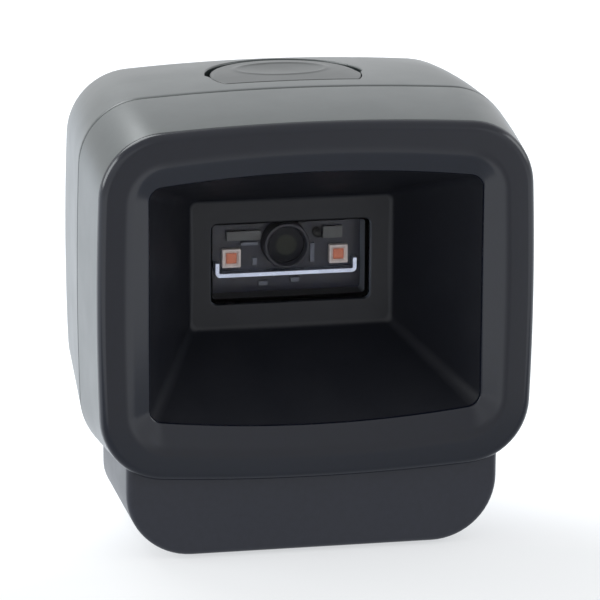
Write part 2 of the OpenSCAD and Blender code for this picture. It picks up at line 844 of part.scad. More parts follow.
module window_seal() {
    color("#101012") placed() loft([
        window_ring(seal_d, 0),
        window_ring(ledge_d, 0),
        window_ring(ledge_d, -ledge_w),
        window_ring(seal_d, -ledge_w)
    ], true);
}

module front_shell() {
    tongue_in = (shell_wall + tongue_clear) / 2;
    rib_end = half_w(boss_rib_d) - shell_wall + bite;
    color("#5b5f63") placed() difference() {
        union() {
            loft([
                for (d = front_stations) head_ring(d, 0),
                head_ring(split_d - seam_bevel, 0),
                head_ring(split_d, seam_bevel),
                head_ring(split_d, tongue_in),
                head_ring(split_d + tongue_len, tongue_in),
                head_ring(split_d + tongue_len, shell_wall),
                for (d = reversed(front_stations)) head_ring(d, shell_wall)
            ], true);
            at_shell_screws() rod(0, 0, shell_boss_r, boss_rib_d, boss_end_d);
            for (z = [shell_screw_low_z, shell_screw_high_z])
                for (side = [0, 1])
                    mirror([side, 0, 0]) translate([shell_screw_x, boss_rib_d, z - rib_t / 2])
                        cube([rib_end - shell_screw_x, split_d - boss_rib_d, rib_t]);
            neck_boss(neck_front_d);
        }
        at_shell_screws() rod(0, 0, screw_r, boss_end_d - screw_hold, boss_end_d + cut);
        neck_holes(screw_r, neck_front_d, 0, neck_top_z(neck_front_d) - tip_room);
    }
}

// Pair of bosses on a shell's floor for the screws that hold the base
module neck_boss(d) {
    for (x = [-neck_screw_x, neck_screw_x])
        post(x, d, neck_boss_r, low_z(d) + shell_wall - bite, neck_top_z(d));
}

module rear_shell() {
    color("#5b5f63") placed() difference() {
        union() {
            loft(concat(
                reversed(rear_rings(shell_wall)),
                reversed([for (d = rear_stations) head_ring(d, shell_wall)]),
                [
                    head_ring(split_d + tongue_len + tongue_clear, shell_wall),
                    head_ring(split_d + tongue_len + tongue_clear, shell_wall / 2),
                    head_ring(split_d, shell_wall / 2),
                    head_ring(split_d, seam_bevel),
                    head_ring(split_d + seam_bevel, 0)
                ],
                [for (d = rear_stations) head_ring(d, 0)],
                rear_rings(0)
            ));
            intersection() {
                at_shell_screws() rod(0, 0, well_r + well_wall, boss_end_d, head_depth);
                head_solid(shell_wall / 2);
            }
            at_main_posts() rod(0, 0, main_post_r, main_back_d, head_depth - shell_wall / 2);
            for (x = [-key_post_x, key_post_x])
                post(x, stem_d, key_post_r, switch_z, top_z(stem_d) - shell_wall + bite);
            for (side = [-1, 1])
                block(side * (ear_x + ear_t / 2), pivot_d - ear_l / 2, pivot_z - ear_l / 2,
                    [ear_t, ear_l, top_z(pivot_d) - shell_wall + bite - pivot_z + ear_l / 2]);
            neck_boss(neck_rear_d);
        }
        translate([0, 0, top_peak_z - 2 * shell_wall]) linear_extrude(3 * shell_wall) key_slot();
        translate([-bar_half - cut, pivot_d, pivot_z]) rotate([0, 90, 0])
            cylinder(r = pivot_r + pivot_clear, h = 2 * (bar_half + cut));
        at_shell_screws() {
            rod(0, 0, well_r, boss_end_d + well_floor_t, head_depth + cut);
            rod(0, 0, screw_r + screw_clear, boss_end_d - cut, boss_end_d + well_floor_t + cut);
        }
        at_main_posts() rod(0, 0, small_screw_r, main_back_d - cut, main_back_d + small_hold);
        for (x = [-key_post_x, key_post_x])
            post(x, stem_d, small_screw_r, switch_z - cut, switch_z + small_hold);
        neck_holes(screw_r, neck_rear_d, 0, neck_top_z(neck_rear_d) - tip_room);
        block(0, slot_d - slot_l / 2, 0, [slot_w, slot_l, neck_top_z(slot_d)]);
    }
}

module trigger_key() {
    color("#62666a") placed() {
        difference() {
            intersection() {
                translate([0, 0, key_under_z]) linear_extrude(2 * key_t)
                    key_plan(key_r, key_edge_d + key_seam / 2);
                head_solid(0);
            }
            translate([0, key_d, top_peak_z - dimple_deep + dimple_ball_r])
                sphere(r = dimple_ball_r, $fn = 160);
        }
        for (side = [-1, 1])
            block(side * lug_x, pivot_d - pivot_r, pivot_z, [lug_t, 2 * pivot_r, key_under_z - pivot_z + bite]);
        translate([-bar_half, pivot_d, pivot_z]) rotate([0, 90, 0]) cylinder(r = pivot_r, h = 2 * bar_half);
        post(0, stem_d, stem_r, plunger_top_z + touch_gap, key_under_z + bite);
    }
}

module base_housing() {
    color("#3c3f46") placed() difference() {
        union() {
            difference() {
                base_form(0, under_z);
                difference() {
                    base_form(base_wall, under_z + floor_t);
                    head_solid(-saddle_gap - deck_t);
                }
                translate([0, 0, under_z - cut]) linear_extrude(floor_t + 2 * cut)
                    plan(cover_w - 2 * cover_ledge, cover_front_d + cover_ledge, cover_l - 2 * cover_ledge,
                        cover_corner_r / 2, cover_corner_r / 2);
            }
            for (d = [neck_front_d, neck_rear_d])
                for (x = [-neck_screw_x, neck_screw_x]) post(x, d, neck_boss_r, neck_seat_z(d), saddle_top_z);
            at_cover_screws() post(0, 0, cover_boss_r, cover_z, cover_z + cover_boss_h);
        }
        head_solid(-saddle_gap);
        translate([0, 0, under_z - cut]) linear_extrude(cover_t + cut)
            plan(cover_w + 2 * cover_clear, cover_front_d - cover_clear, cover_l + 2 * cover_clear,
                cover_corner_r, cover_corner_r);
        at_cover_screws() post(0, 0, small_screw_r, cover_z - cut, cover_z + small_hold);
        at_neck_screws() post(0, 0, screw_r + screw_clear, under_z + floor_t, saddle_top_z);
        block(0, slot_d - slot_l / 2, under_z + floor_t, [slot_w, slot_l, saddle_top_z]);
        block(0, socket_back_d - cut, plug_z - plug_margin,
            [plug_w + 2 * plug_margin, base_wall + 2 * cut, plug_h + 2 * plug_margin]);
    }
}

module bottom_cover() {
    color("#2c2e33") placed() difference() {
        union() {
            translate([0, 0, under_z]) linear_extrude(cover_t)
                plan(cover_w, cover_front_d, cover_l, cover_corner_r, cover_corner_r);
            post(0, insert_mid_d, insert_r + insert_wall, under_z, under_z + insert_len + insert_floor);
            at_socket_posts() post(0, 0, socket_post_r, under_z, socket_board_z);
        }
        at_cover_screws() {
            post(0, 0, small_screw_r + screw_clear, under_z - cut, cover_z + cut);
            post(0, 0, small_head_r + screw_clear, under_z - cut, under_z + small_head_h / 2);
        }
        at_feet() post(0, 0, foot_r, under_z - cut, foot_t);
        post(0, insert_mid_d, insert_r, under_z - cut, under_z + insert_len);
        at_socket_posts() post(0, 0, small_screw_r, cover_z - socket_post_hole, socket_board_z + cut);
    }
}

module at_socket_posts() {
    for (side = [-1, 1]) translate([side * (socket_board_w / 2 - socket_post_in), socket_post_d, 0]) children();
}

module at_feet() {
    for (side = [-1, 1])
        for (d = [cover_front_d + foot_inset, cover_front_d + cover_l - foot_inset])
            translate([side * foot_x, d, 0]) children();
}

module foot(side, d) {
    color("#0e0e10") placed() post(side * foot_x, d, foot_r, 0, foot_t);
}

module foot_front_left() {
    foot(-1, cover_front_d + foot_inset);
}

module foot_front_right() {
    foot(1, cover_front_d + foot_inset);
}

module foot_rear_left() {
    foot(-1, cover_front_d + cover_l - foot_inset);
}

module foot_rear_right() {
    foot(1, cover_front_d + cover_l - foot_inset);
}

module cover_screws() {
    color("silver") placed() at_cover_screws() translate([0, 0, under_z + small_head_h / 2])
        mirror([0, 0, 1])
            screw(small_screw_r, cover_t - small_head_h / 2 + small_hold - tip_room,
                small_head_r, small_head_h / 2);
}

module shell_screws() {
    color("silver") placed() at_shell_screws() translate([0, boss_end_d + well_floor_t, 0]) rotate([-90, 0, 0])
        screw(screw_r, well_floor_t + screw_hold - tip_room, screw_head_r, screw_head_h);
}

module neck_screws() {
    color("silver") placed() for (d = [neck_front_d, neck_rear_d])
        for (x = [-neck_screw_x, neck_screw_x])
            translate([x, d, neck_seat_z(d)]) mirror([0, 0, 1])
                screw(screw_r, neck_top_z(d) - neck_seat_z(d) - 2 * tip_room, screw_head_r, screw_head_h);
}

module stand_insert() {
    color("#b08d57") placed() difference() {
        post(0, insert_mid_d, insert_r, under_z, under_z + insert_len);
        post(0, insert_mid_d, insert_bore_r, under_z - cut, under_z + insert_len + cut);
    }
}

module cable_socket() {
    color("#1d1e20") placed() difference() {
        block(0, socket_back_d - socket_len, socket_z, [socket_w, socket_len, socket_h]);
        block(0, socket_back_d - plug_len, plug_z, [plug_w, plug_len + cut, plug_h]);
    }
}

module socket_contacts() {
    color("gold") placed() for (i = [0 : contact_count - 1])
        block((i - (contact_count - 1) / 2) * contact_pitch, socket_back_d - plug_len,
            plug_z + plug_h - contact_t, [contact_pitch / 2, plug_len - contact_short, contact_t]);
}

module socket_board() {
    color("#1f5a3a") placed() difference() {
        block(0, socket_back_d - socket_board_l, socket_board_z,
            [socket_board_w, socket_board_l - socket_board_gap, board_t]);
        at_socket_posts() post(0, 0, small_screw_r + board_clear, socket_board_z - cut, socket_z + cut);
    }
}

module socket_board_screws() {
    color("silver") placed() at_socket_posts() translate([0, 0, socket_z])
        screw(small_screw_r, socket_z - cover_z, small_head_r, small_head_h);
}

module base_ribbon() {
    turn_z = low_z(main_d) + shell_wall + ribbon_lift;
    board_top = socket_z + ribbon_t / 2;
    face_d = main_d - ribbon_t / 2;
    color("#d9a441") placed() ribbon([
        [face_d, main_z - main_h / 2 + ribbon_end],
        [face_d, turn_z],
        [slot_d, turn_z],
        [slot_d, board_top],
        [slot_d - ribbon_end, board_top]
    ]);
}

module main_board() {
    color("#1f5a3a") placed() difference() {
        block(0, main_d, main_z - main_h / 2, [main_w, main_t, main_h]);
        at_main_posts() rod(0, 0, small_screw_r + board_clear, main_d - cut, main_back_d + cut);
    }
}

module main_board_screws() {
    color("silver") placed() at_main_posts() translate([0, main_d, 0]) rotate([90, 0, 0])
        screw(small_screw_r, main_t + small_hold - tip_room, small_head_r, small_head_h);
}

module processor() {
    color("#2a2a2c") placed()
        block(processor_x, main_back_d, main_z - processor_size / 2, [processor_size, chip_t, processor_size]);
}

module memory_chip() {
    color("#2a2a2c") placed() block(memory_x, main_back_d, main_z - memory_low, [memory_w, chip_t, memory_h]);
}

module capacitors() {
    color("#b9bcc2") placed() for (i = [0 : capacitor_count - 1])
        rod(capacitor_x + capacitor_pitch * i, main_z + main_h / 2 - capacitor_drop, capacitor_r,
            main_back_d, main_back_d + capacitor_h);
}

module buzzer() {
    color("#1a1a1c") placed() difference() {
        rod(buzzer_x, main_z + buzzer_up, buzzer_r, main_back_d, main_back_d + buzzer_h);
        rod(buzzer_x, main_z + buzzer_up, buzzer_port_r,
            main_back_d + buzzer_h / 2, main_back_d + buzzer_h + cut);
    }
}

module engine_board() {
    color("#20264a") placed() difference() {
        block(0, engine_d, axis_z - engine_h / 2, [engine_w, engine_board_t, engine_h]);
        rod(0, lens_z, barrel_r + barrel_clear, engine_d - cut, chassis_d + cut);
    }
}

// Box on the engine board's face, given by its middle, with its height off the board
module on_engine_board(x, z, w, h, t) {
    block(x, engine_d - t, axis_z + z - h / 2, [w, t, h]);
}

module engine_board_parts() {
    color("#b8bcc4") placed() for (p = small_parts) on_engine_board(p[0], p[1], p[2], p[3], p[4]);
}

module engine_connector() {
    color("#8f9498") placed() on_engine_board(connector_x, upper_row, connector_w, connector_h, part_t);
}

module shield_strip() {
    color("#e4e6ea") placed() {
        low = axis_z - strip_drop - strip_t / 2;
        block(0, engine_d - strip_out, low, [strip_w, strip_out, strip_t]);
        for (side = [-1, 1])
            block(side * (strip_w / 2 - strip_tab_t / 2), engine_d - strip_out, low + strip_t,
                [strip_tab_t, strip_out, strip_tab]);
    }
}

module lamp(side) {
    color("#f2f2ee") placed() difference() {
        on_engine_board(side * lamp_spacing / 2, -lamp_drop, lamp_size, lamp_size, lamp_t);
        translate([0, -lamp_t + emitter_t, 0])
            on_engine_board(side * lamp_spacing / 2, -lamp_drop, emitter_size, emitter_size, 2 * emitter_t);
    }
}

module left_lamp() {
    lamp(-1);
}

module right_lamp() {
    lamp(1);
}

module emitter(side) {
    color("#e2733a") placed() translate([0, -lamp_t + emitter_t, 0])
        on_engine_board(side * lamp_spacing / 2, -lamp_drop, emitter_size, emitter_size, emitter_t);
}

module left_emitter() {
    emitter(-1);
}

module right_emitter() {
    emitter(1);
}

module aimer_lamp() {
    color("#a9adb2") placed() on_engine_board(aimer_lamp_x, upper_row, aimer_lamp_w, aimer_lamp_h, part_t);
}

module aimer_lens() {
    color("#eef3f6") placed() intersection() {
        rod(aimer_x, axis_z + upper_row, aimer_r, engine_d - aimer_len, engine_d);
        translate([aimer_x, engine_d - aimer_len + aimer_dome_r, axis_z + upper_row]) sphere(r = aimer_dome_r);
    }
}

module lens_barrel() {
    color("#17181b") placed() difference() {
        rod(0, lens_z, barrel_r, barrel_d, barrel_end_d);
        rod(0, lens_z, barrel_r - barrel_wall, barrel_d - cut, barrel_end_d + cut);
    }
}

module front_lens() {
    d = barrel_d + lens_inset;
    color("#5f6f74", 0.6) placed() intersection() {
        rod(0, lens_z, barrel_r - barrel_wall, d, d + lens_t);
        translate([0, d + lens_dome_r, lens_z]) sphere(r = lens_dome_r);
    }
}

module rear_lens() {
    d = barrel_end_d - lens_inset;
    color("#5f6f74", 0.6) placed() intersection() {
        rod(0, lens_z, barrel_r - barrel_wall, d - lens_t, d);
        translate([0, d - lens_dome_r, lens_z]) sphere(r = lens_dome_r);
    }
}

module engine_chassis() {
    w = 2 * (engine_post_x - engine_post_r - chassis_gap);
    h = engine_h - 2 * chassis_margin;
    color("#2e3034") placed() difference() {
        union() {
            block(0, chassis_d, axis_z - h / 2, [w, chassis_len, h]);
            for (x = [-engine_post_x, engine_post_x])
                rod(x, axis_z, engine_post_r, chassis_d, chassis_d + engine_lug_t);
            block(0, chassis_d, axis_z - engine_post_r, [2 * engine_post_x, engine_lug_t, 2 * engine_post_r]);
        }
        rod(0, lens_z, barrel_r, chassis_d - cut, barrel_end_d);
        block(0, barrel_end_d - eps, lens_z - pocket_h / 2, [pocket_w, chassis_len, pocket_h]);
        for (x = [-engine_post_x, engine_post_x])
            rod(x, axis_z, small_screw_r + board_clear, chassis_d - cut, chassis_d + engine_lug_t + cut);
    }
}

module engine_screws() {
    color("silver") placed() for (x = [-engine_post_x, engine_post_x])
        translate([x, chassis_d + engine_lug_t, axis_z]) rotate([-90, 0, 0])
            screw(small_screw_r, engine_lug_t + small_hold, small_head_r, small_head_h);
}

module sensor_board() {
    color("#1f5a3a") placed()
        block(0, sensor_board_d, axis_z - sensor_board_h / 2, [sensor_board_w, board_t, sensor_board_h]);
}

module image_sensor() {
    color("#3a3f52") placed()
        block(0, sensor_board_d - sensor_t, lens_z - sensor_h / 2, [sensor_w, sensor_t, sensor_h]);
}

module engine_ribbon() {
    back_d = sensor_board_d + board_t + ribbon_t / 2;
    face_d = main_d - ribbon_t / 2;
    turn_z = axis_z - ribbon_turn_drop;
    color("#d9a441") placed() ribbon([
        [back_d, axis_z - sensor_board_h / 2 + ribbon_end],
        [back_d, turn_z],
        [face_d, turn_z],
        [face_d, turn_z + ribbon_end]
    ]);
}

module key_board() {
    color("#1f5a3a") placed() difference() {
        block(0, stem_d - key_board_l / 2, key_board_z, [key_board_w, key_board_l, board_t]);
        for (x = [-key_post_x, key_post_x])
            post(x, stem_d, small_screw_r + board_clear, key_board_z - cut, switch_z + cut);
    }
}

module key_board_screws() {
    color("silver") placed() for (x = [-key_post_x, key_post_x])
        translate([x, stem_d, key_board_z]) mirror([0, 0, 1])
            screw(small_screw_r, board_t + small_hold - tip_room, small_head_r, small_head_h);
}

module key_switch() {
    color("#202124") placed() difference() {
        block(0, stem_d - switch_size / 2, switch_z, [switch_size, switch_size, switch_h]);
        post(0, stem_d, plunger_r + plunger_clear, switch_z + switch_h - plunger_in - plunger_room,
            switch_z + switch_h + cut);
    }
}

module switch_plunger() {
    color("#c9502e") placed() post(0, stem_d, plunger_r, switch_z + switch_h - plunger_in, plunger_top_z);
}

module key_ribbon() {
    under = key_board_z - ribbon_t / 2;
    face_d = main_d - ribbon_t / 2;
    color("#d9a441") placed() ribbon([
        [stem_d + key_board_l / 2 - ribbon_end, under],
        [face_d, under],
        [face_d, main_z + main_h / 2 - ribbon_end]
    ]);
}

front_frame();
reading_funnel();
exit_window();
window_seal();
front_shell();
rear_shell();
trigger_key();
base_housing();
bottom_cover();
foot_front_left();
foot_front_right();
foot_rear_left();
foot_rear_right();
cover_screws();
shell_screws();
neck_screws();
stand_insert();
cable_socket();
socket_contacts();
socket_board();
socket_board_screws();
base_ribbon();
main_board();
main_board_screws();
processor();
memory_chip();
capacitors();
buzzer();
engine_board();
engine_board_parts();
engine_connector();
shield_strip();
left_lamp();
right_lamp();
left_emitter();
right_emitter();
aimer_lamp();
aimer_lens();
lens_barrel();
front_lens();
rear_lens();
engine_chassis();
engine_screws();
sensor_board();
image_sensor();
engine_ribbon();
key_board();
key_board_screws();
key_switch();
switch_plunger();
key_ribbon();
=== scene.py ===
# %% [markdown]
# # A hands-free barcode scanner
# The scanner is a cube-like head on a narrower base. A gloss frame and a dark funnel lead the eye to
# a small window with the imaging engine behind it. A round sprung key lies in the top.
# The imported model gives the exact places. Each cell below makes the visible skin of one piece from
# a formula, because a formula keeps edges, gaps and curves even, and can be made as fine as needed.

import json
import math

import bmesh
import bpy
import numpy as np
from mathutils import Matrix, Vector

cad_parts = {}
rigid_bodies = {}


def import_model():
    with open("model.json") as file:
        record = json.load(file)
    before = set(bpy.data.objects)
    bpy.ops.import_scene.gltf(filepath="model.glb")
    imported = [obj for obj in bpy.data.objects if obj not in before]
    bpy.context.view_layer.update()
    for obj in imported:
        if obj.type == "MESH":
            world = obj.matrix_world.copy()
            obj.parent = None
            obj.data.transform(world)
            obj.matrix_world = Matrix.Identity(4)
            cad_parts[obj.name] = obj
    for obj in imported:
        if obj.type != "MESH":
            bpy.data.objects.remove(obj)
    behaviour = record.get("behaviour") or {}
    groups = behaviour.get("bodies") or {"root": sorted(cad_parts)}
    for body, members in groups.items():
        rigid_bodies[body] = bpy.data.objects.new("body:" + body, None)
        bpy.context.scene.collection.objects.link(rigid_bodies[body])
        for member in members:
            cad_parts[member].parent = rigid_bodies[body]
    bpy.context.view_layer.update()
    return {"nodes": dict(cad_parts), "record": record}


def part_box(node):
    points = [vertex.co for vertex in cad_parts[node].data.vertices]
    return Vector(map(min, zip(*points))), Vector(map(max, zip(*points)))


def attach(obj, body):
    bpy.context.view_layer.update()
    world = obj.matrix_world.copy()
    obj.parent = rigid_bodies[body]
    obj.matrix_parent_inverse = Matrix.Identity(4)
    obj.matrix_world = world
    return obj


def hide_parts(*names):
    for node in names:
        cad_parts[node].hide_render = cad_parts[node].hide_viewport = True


for leftover in list(bpy.data.objects):
    bpy.data.objects.remove(leftover)
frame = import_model()

# %% [markdown]
# ## Sizes
# All sizes are in millimetres. Depth is measured back from the frame's face, and height from the
# table. The same few numbers shape every piece of the head, so that the pieces meet in even gaps.

# %% Sizes of the head and the base
HEAD_DEPTH, HEAD_W, FRONT_W = 60.0, 81.0, 79.8
TOP_PEAK, PEAK_D, TOP_ARC = 83.4, 32.0, 170.0
FRAME_LOW, BELLY_DROP = 15.0, 1.3
SIDE_SLOPE, BELLY_SLOPE = math.tan(math.radians(4.4)), math.tan(math.radians(8))
EDGE_D, SPLIT_D, REAR_R = 1.6, 20.0, 13.6
HEAD_CORNER, HEAD_BOW, SIDE_BOW = 12.0, 1.0, 0.4
WALL = 2.2
VIEW_Z = 49.2
REAR_ARC_D = HEAD_DEPTH - REAR_R
print("head, mm:", HEAD_W, "wide,", HEAD_DEPTH, "deep, top at", TOP_PEAK)

# %% [markdown]
# ## Tools for skins
# A skin is a grid of points. Its rows are sections of the piece and its columns run round it. Cut
# into small four-sided faces, it follows any formula. Points of two grids that share an edge are
# merged, so that the piece is closed, and its faces are then turned outwards.


# %% Faces of a grid of points
def grid_faces(rows, cols, wrap_rows=False, wrap_cols=True, start=0, holes=()):
    """Four-sided faces of a grid: each face joins point (row, column) to the next in both ways.

    Where a way wraps, the last point joins the first. A hole is (first row, last row, first column,
    last column), and the faces between those lines are left out.
    """
    r, c = np.meshgrid(
        np.arange(rows if wrap_rows else rows - 1), np.arange(cols if wrap_cols else cols - 1), indexing="ij"
    )
    keep = np.ones(r.shape, bool)
    for r0, r1, c0, c1 in holes:
        keep &= ~((r >= r0) & (r < r1) & (c >= c0) & (c < c1))
    r2, c2 = (r + 1) % rows, (c + 1) % cols
    faces = np.stack([r * cols + c, r * cols + c2, r2 * cols + c2, r2 * cols + c], -1)
    return faces[keep] + start


# %% Put a skin into the scene
def to_scene(points):
    """Millimetres with depth measured from the frame's face become metres about the head's middle."""
    moved = np.array(points, float).reshape(-1, 3)
    moved[:, 1] -= HEAD_DEPTH / 2
    return moved * 0.001


CREASE = math.radians(32)


def piece(name, parts, material, replaces, body="housing"):
    """Makes one mesh from parts, each a pair of points and faces, in place of pieces of the model."""
    count, all_points, all_faces = 0, [], []
    for points, faces in parts:
        points = np.asarray(points, float).reshape(-1, 3)
        all_points.append(to_scene(points))
        all_faces += (np.asarray(faces) + count).tolist()
        count += len(points)
    mesh = bpy.data.meshes.new(name)
    mesh.from_pydata(np.concatenate(all_points).tolist(), [], all_faces)
    bm = bmesh.new()
    bm.from_mesh(mesh)
    bmesh.ops.remove_doubles(bm, verts=bm.verts, dist=2e-6)
    bmesh.ops.recalc_face_normals(bm, faces=bm.faces)
    open_edges = sum(1 for e in bm.edges if len(e.link_faces) != 2)
    bm.to_mesh(mesh)
    bm.free()
    mesh.shade_smooth()
    mesh.set_sharp_from_angle(angle=CREASE)
    mesh.materials.append(material)
    made = bpy.data.objects.new(name, mesh)
    bpy.context.scene.collection.objects.link(made)
    even = made.modifiers.new("even_shading", "WEIGHTED_NORMAL")
    even.keep_sharp = True
    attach(made, body)
    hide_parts(*replaces)
    print(f"{name}: {len(mesh.polygons)} faces, {open_edges} open edges")
    return made


# %% Close the end of a grid
def cap(ring):
    """One face with as many corners as a ring has points."""
    return [(ring, np.arange(len(ring))[None])]


# %% [markdown]
# ## Sections with eased edges
# Moulded housings have no truly straight edges. Each edge of a section is a shallow arc, and each
# corner arc starts and ends at the slopes of its edges, so that a reflection runs on without a kink.

# %% A closed section
CORNER_N, TOP_N, SIDE_N = 14, 56, 28
RING_N = 4 * CORNER_N + 2 * TOP_N + 2 * SIDE_N
TOP_START = 2 * CORNER_N + SIDE_N


def eased(half, low, high, corner, bow, side_bow):
    """Centres and end slopes of a section's corners.

    The slope at the end of a parabola that rises by its bow over half its chord is twice the bow over
    that half chord. Slopes and centres depend on each other, so four rounds settle both.
    """
    half, low, high, corner, bow, side_bow = np.broadcast_arrays(
        *[np.asarray(v, float) for v in (half, low, high, corner, bow, side_bow)]
    )
    top_slope, side_slope = np.zeros_like(half), np.zeros_like(half)
    for _ in range(4):
        x = half - side_bow - corner * np.cos(side_slope)
        z_top = high - bow - corner * np.cos(top_slope)
        z_low = low + bow + corner * np.cos(top_slope)
        chord = x + corner * np.sin(top_slope)
        rise = (z_top - z_low) / 2 + corner * np.sin(side_slope)
        top_slope, side_slope = np.arctan(2 * bow / chord), np.arctan(2 * side_bow / rise)
    return dict(
        half=half, low=low, high=high, corner=corner, bow=bow, side_bow=side_bow,
        x=x, z_top=z_top, z_low=z_low, chord=chord, rise=rise, top_slope=top_slope, side_slope=side_slope,
    )


def section(d, *shape):
    """Closed sections at depths d as points (x, depth, height), anticlockwise from the lower right corner."""
    e = {k: v[..., None] for k, v in eased(*shape).items()}
    ease = np.linspace(0, 1, CORNER_N, endpoint=False)

    def arc(cx, cz, a0, a1):
        a = a0 + (a1 - a0) * ease
        return cx + e["corner"] * np.cos(a), cz + e["corner"] * np.sin(a)

    quarter, b, t = math.pi / 2, e["side_slope"], e["top_slope"]
    along = np.linspace(-1, 1, TOP_N, endpoint=False)
    up = np.linspace(-1, 1, SIDE_N, endpoint=False)
    middle = (e["z_top"] + e["z_low"]) / 2
    side_x = e["half"] - e["side_bow"] * up**2
    pieces = [
        arc(e["x"], e["z_low"], -quarter + t, -b),
        (side_x, middle + e["rise"] * up),
        arc(e["x"], e["z_top"], b, quarter - t),
        (-e["chord"] * along, e["high"] - e["bow"] * along**2),
        arc(-e["x"], e["z_top"], quarter + t, 2 * quarter - b),
        (-side_x, middle - e["rise"] * up),
        arc(-e["x"], e["z_low"], 2 * quarter + b, 3 * quarter - t),
        (e["chord"] * along, e["low"] + e["bow"] * along**2),
    ]
    x = np.concatenate([np.broadcast_arrays(p[0], p[1])[0] for p in pieces], -1)
    z = np.concatenate([np.broadcast_arrays(p[0], p[1])[1] for p in pieces], -1)
    depth = np.broadcast_to(np.asarray(d, float)[..., None], x.shape)
    return np.stack([x, depth, z], -1)


# %% [markdown]
# ## The head's form
# The head widens a little from the frame to the parting line and then tapers. Its top is one long
# arc from front to back. At the rear the whole section shrinks along a quarter circle.


# %% Section of the head at any depth
def mix(a, b, t):
    """The value t of the way from a to b."""
    return a + (b - a) * t


def front_share(d):
    """How far depth d lies on the way from the frame's edge to the parting line."""
    return (np.asarray(d, float) - EDGE_D) / (SPLIT_D - EDGE_D)


def half_width(d):
    """Straight lines: widening to the parting line, then narrowing by the side slope."""
    d = np.asarray(d, float)
    behind = HEAD_W / 2 - SIDE_SLOPE * (d - SPLIT_D)
    return np.where(d < SPLIT_D, mix(FRONT_W, HEAD_W, front_share(d)) / 2, behind)


def top_height(d):
    """The long arc: the peak less the square of the distance from it over twice the radius."""
    return TOP_PEAK - (np.asarray(d, float) - PEAK_D) ** 2 / (2 * TOP_ARC)


def low_height(d):
    """Straight lines: falling to the parting line, then rising by the belly slope."""
    d = np.asarray(d, float)
    belly = FRAME_LOW - BELLY_DROP
    return np.where(d < SPLIT_D, FRAME_LOW - BELLY_DROP * front_share(d), belly + BELLY_SLOPE * (d - SPLIT_D))


def rear_inset(d, wall):
    """The quarter circle at the rear.

    The inset is the radius less the root of the radius squared less the way past the start squared.
    """
    past = np.clip(np.asarray(d, float) - REAR_ARC_D, 0, None)
    return REAR_R - np.sqrt(np.clip((REAR_R - wall) ** 2 - past**2, 0, None))


def head_shape(d, wall):
    """What eased() needs for the head's section at depth d, a wall inside its skin."""
    d, wall = np.broadcast_arrays(np.asarray(d, float), np.asarray(wall, float))
    s = np.where(d > REAR_ARC_D, rear_inset(d, wall), wall)
    return (
        half_width(d) - s, low_height(d) + s, top_height(d) - s,
        HEAD_CORNER - 0.3 * (s - wall) - wall, np.full(d.shape, HEAD_BOW), np.full(d.shape, SIDE_BOW),
    )


def head_ring(d, wall=0.0):
    """Points of the head's section at depth d."""
    d, wall = np.broadcast_arrays(np.asarray(d, float), np.asarray(wall, float))
    return section(d, *head_shape(d, wall))


print("head section at the parting line, mm:", np.ptp(head_ring(SPLIT_D), axis=0).round(2))


# %% [markdown]
# ## Rounding creases
# A real moulding has a small radius on every edge, and it is what catches the light. Here a crease
# between two rings becomes a curve of a few rings.


# %% Round the creases in a stack of rings
def soften(rings, cuts, steps=5):
    """Each ring with a cut becomes a quadratic curve from the cut's length before it to the same after it.

    The curve's point at t is (1 - t)^2 of its start, 2 t (1 - t) of the crease and t^2 of its end. The
    stack closes on itself. A cut may not pass the middle between two rings.
    """
    made = []
    t = np.linspace(0, 1, steps)[:, None, None]
    for k, (ring, cut) in enumerate(zip(rings, cuts)):
        if not cut:
            made.append(ring[None])
            continue
        ends = []
        for other in (rings[k - 1], rings[(k + 1) % len(rings)]):
            way = other - ring
            length = np.linalg.norm(way, axis=-1, keepdims=True)
            ends.append(ring + way * np.minimum(cut / np.maximum(length, 1e-9), 0.45))
        made.append((1 - t) ** 2 * ends[0] + 2 * t * (1 - t) * ring + t**2 * ends[1])
    return np.concatenate(made)


def closed_loft(rings, cuts, steps=5):
    """Points and faces of a stack of rings that closes on itself."""
    grid = soften(rings, cuts, steps)
    return grid, grid_faces(len(grid), grid.shape[1], wrap_rows=True)


# %% [markdown]
# ## A hole in a skin
# A hole is cut by leaving out a block of faces. The gap between the block's square edge and the
# round rim of the hole is filled by a second grid, whose rows blend from one outline to the other.
# The blend is made flat and then lifted onto the skin, so that the surface goes on unchanged.


# %% Edge of a block and the grid between it and a rim
def block_edge(block):
    """Rows and columns of the points once round a block of a grid."""
    r0, r1, c0, c1 = block
    r = np.concatenate([np.full(c1 - c0, r0), np.arange(r0, r1), np.full(c1 - c0, r1), np.arange(r1, r0, -1)])
    c = np.concatenate([np.arange(c0, c1), np.full(r1 - r0, c1), np.arange(c1, c0, -1), np.full(r1 - r0, c0)])
    return r, c


def between(edge, rim, lift, steps=6):
    """Rows from a block's edge to a rim: the flat blend of both outlines, lifted onto the skin."""
    r, flat_edge, flat_rim = np.linspace(0, 1, steps)[:, None, None], edge[1], rim
    rows = lift(flat_edge * (1 - r) + flat_rim * r)
    rows[0] = edge[0]
    return rows


# %% [markdown]
# ## Finishes
# The housing is dark moulded plastic. Seen head on it is nearly black, and at a glancing angle it
# mirrors the pale room, so its gloss matters more than its colour. A very fine noise stands for the
# texture of the mould, and a slow one makes the sheen uneven, as handling does. Each finish is a
# small network of nodes on object coordinates, so that its grain has the same true size everywhere.


# %% Tools for networks of nodes
def wire(tree, made, inputs):
    """Sets a node's inputs: one given as another node's socket is linked, any other is a fixed value."""
    for key, value in inputs.items():
        if isinstance(value, bpy.types.NodeSocket):
            tree.links.new(value, made.inputs[key])
        else:
            made.inputs[key].default_value = value
    return made


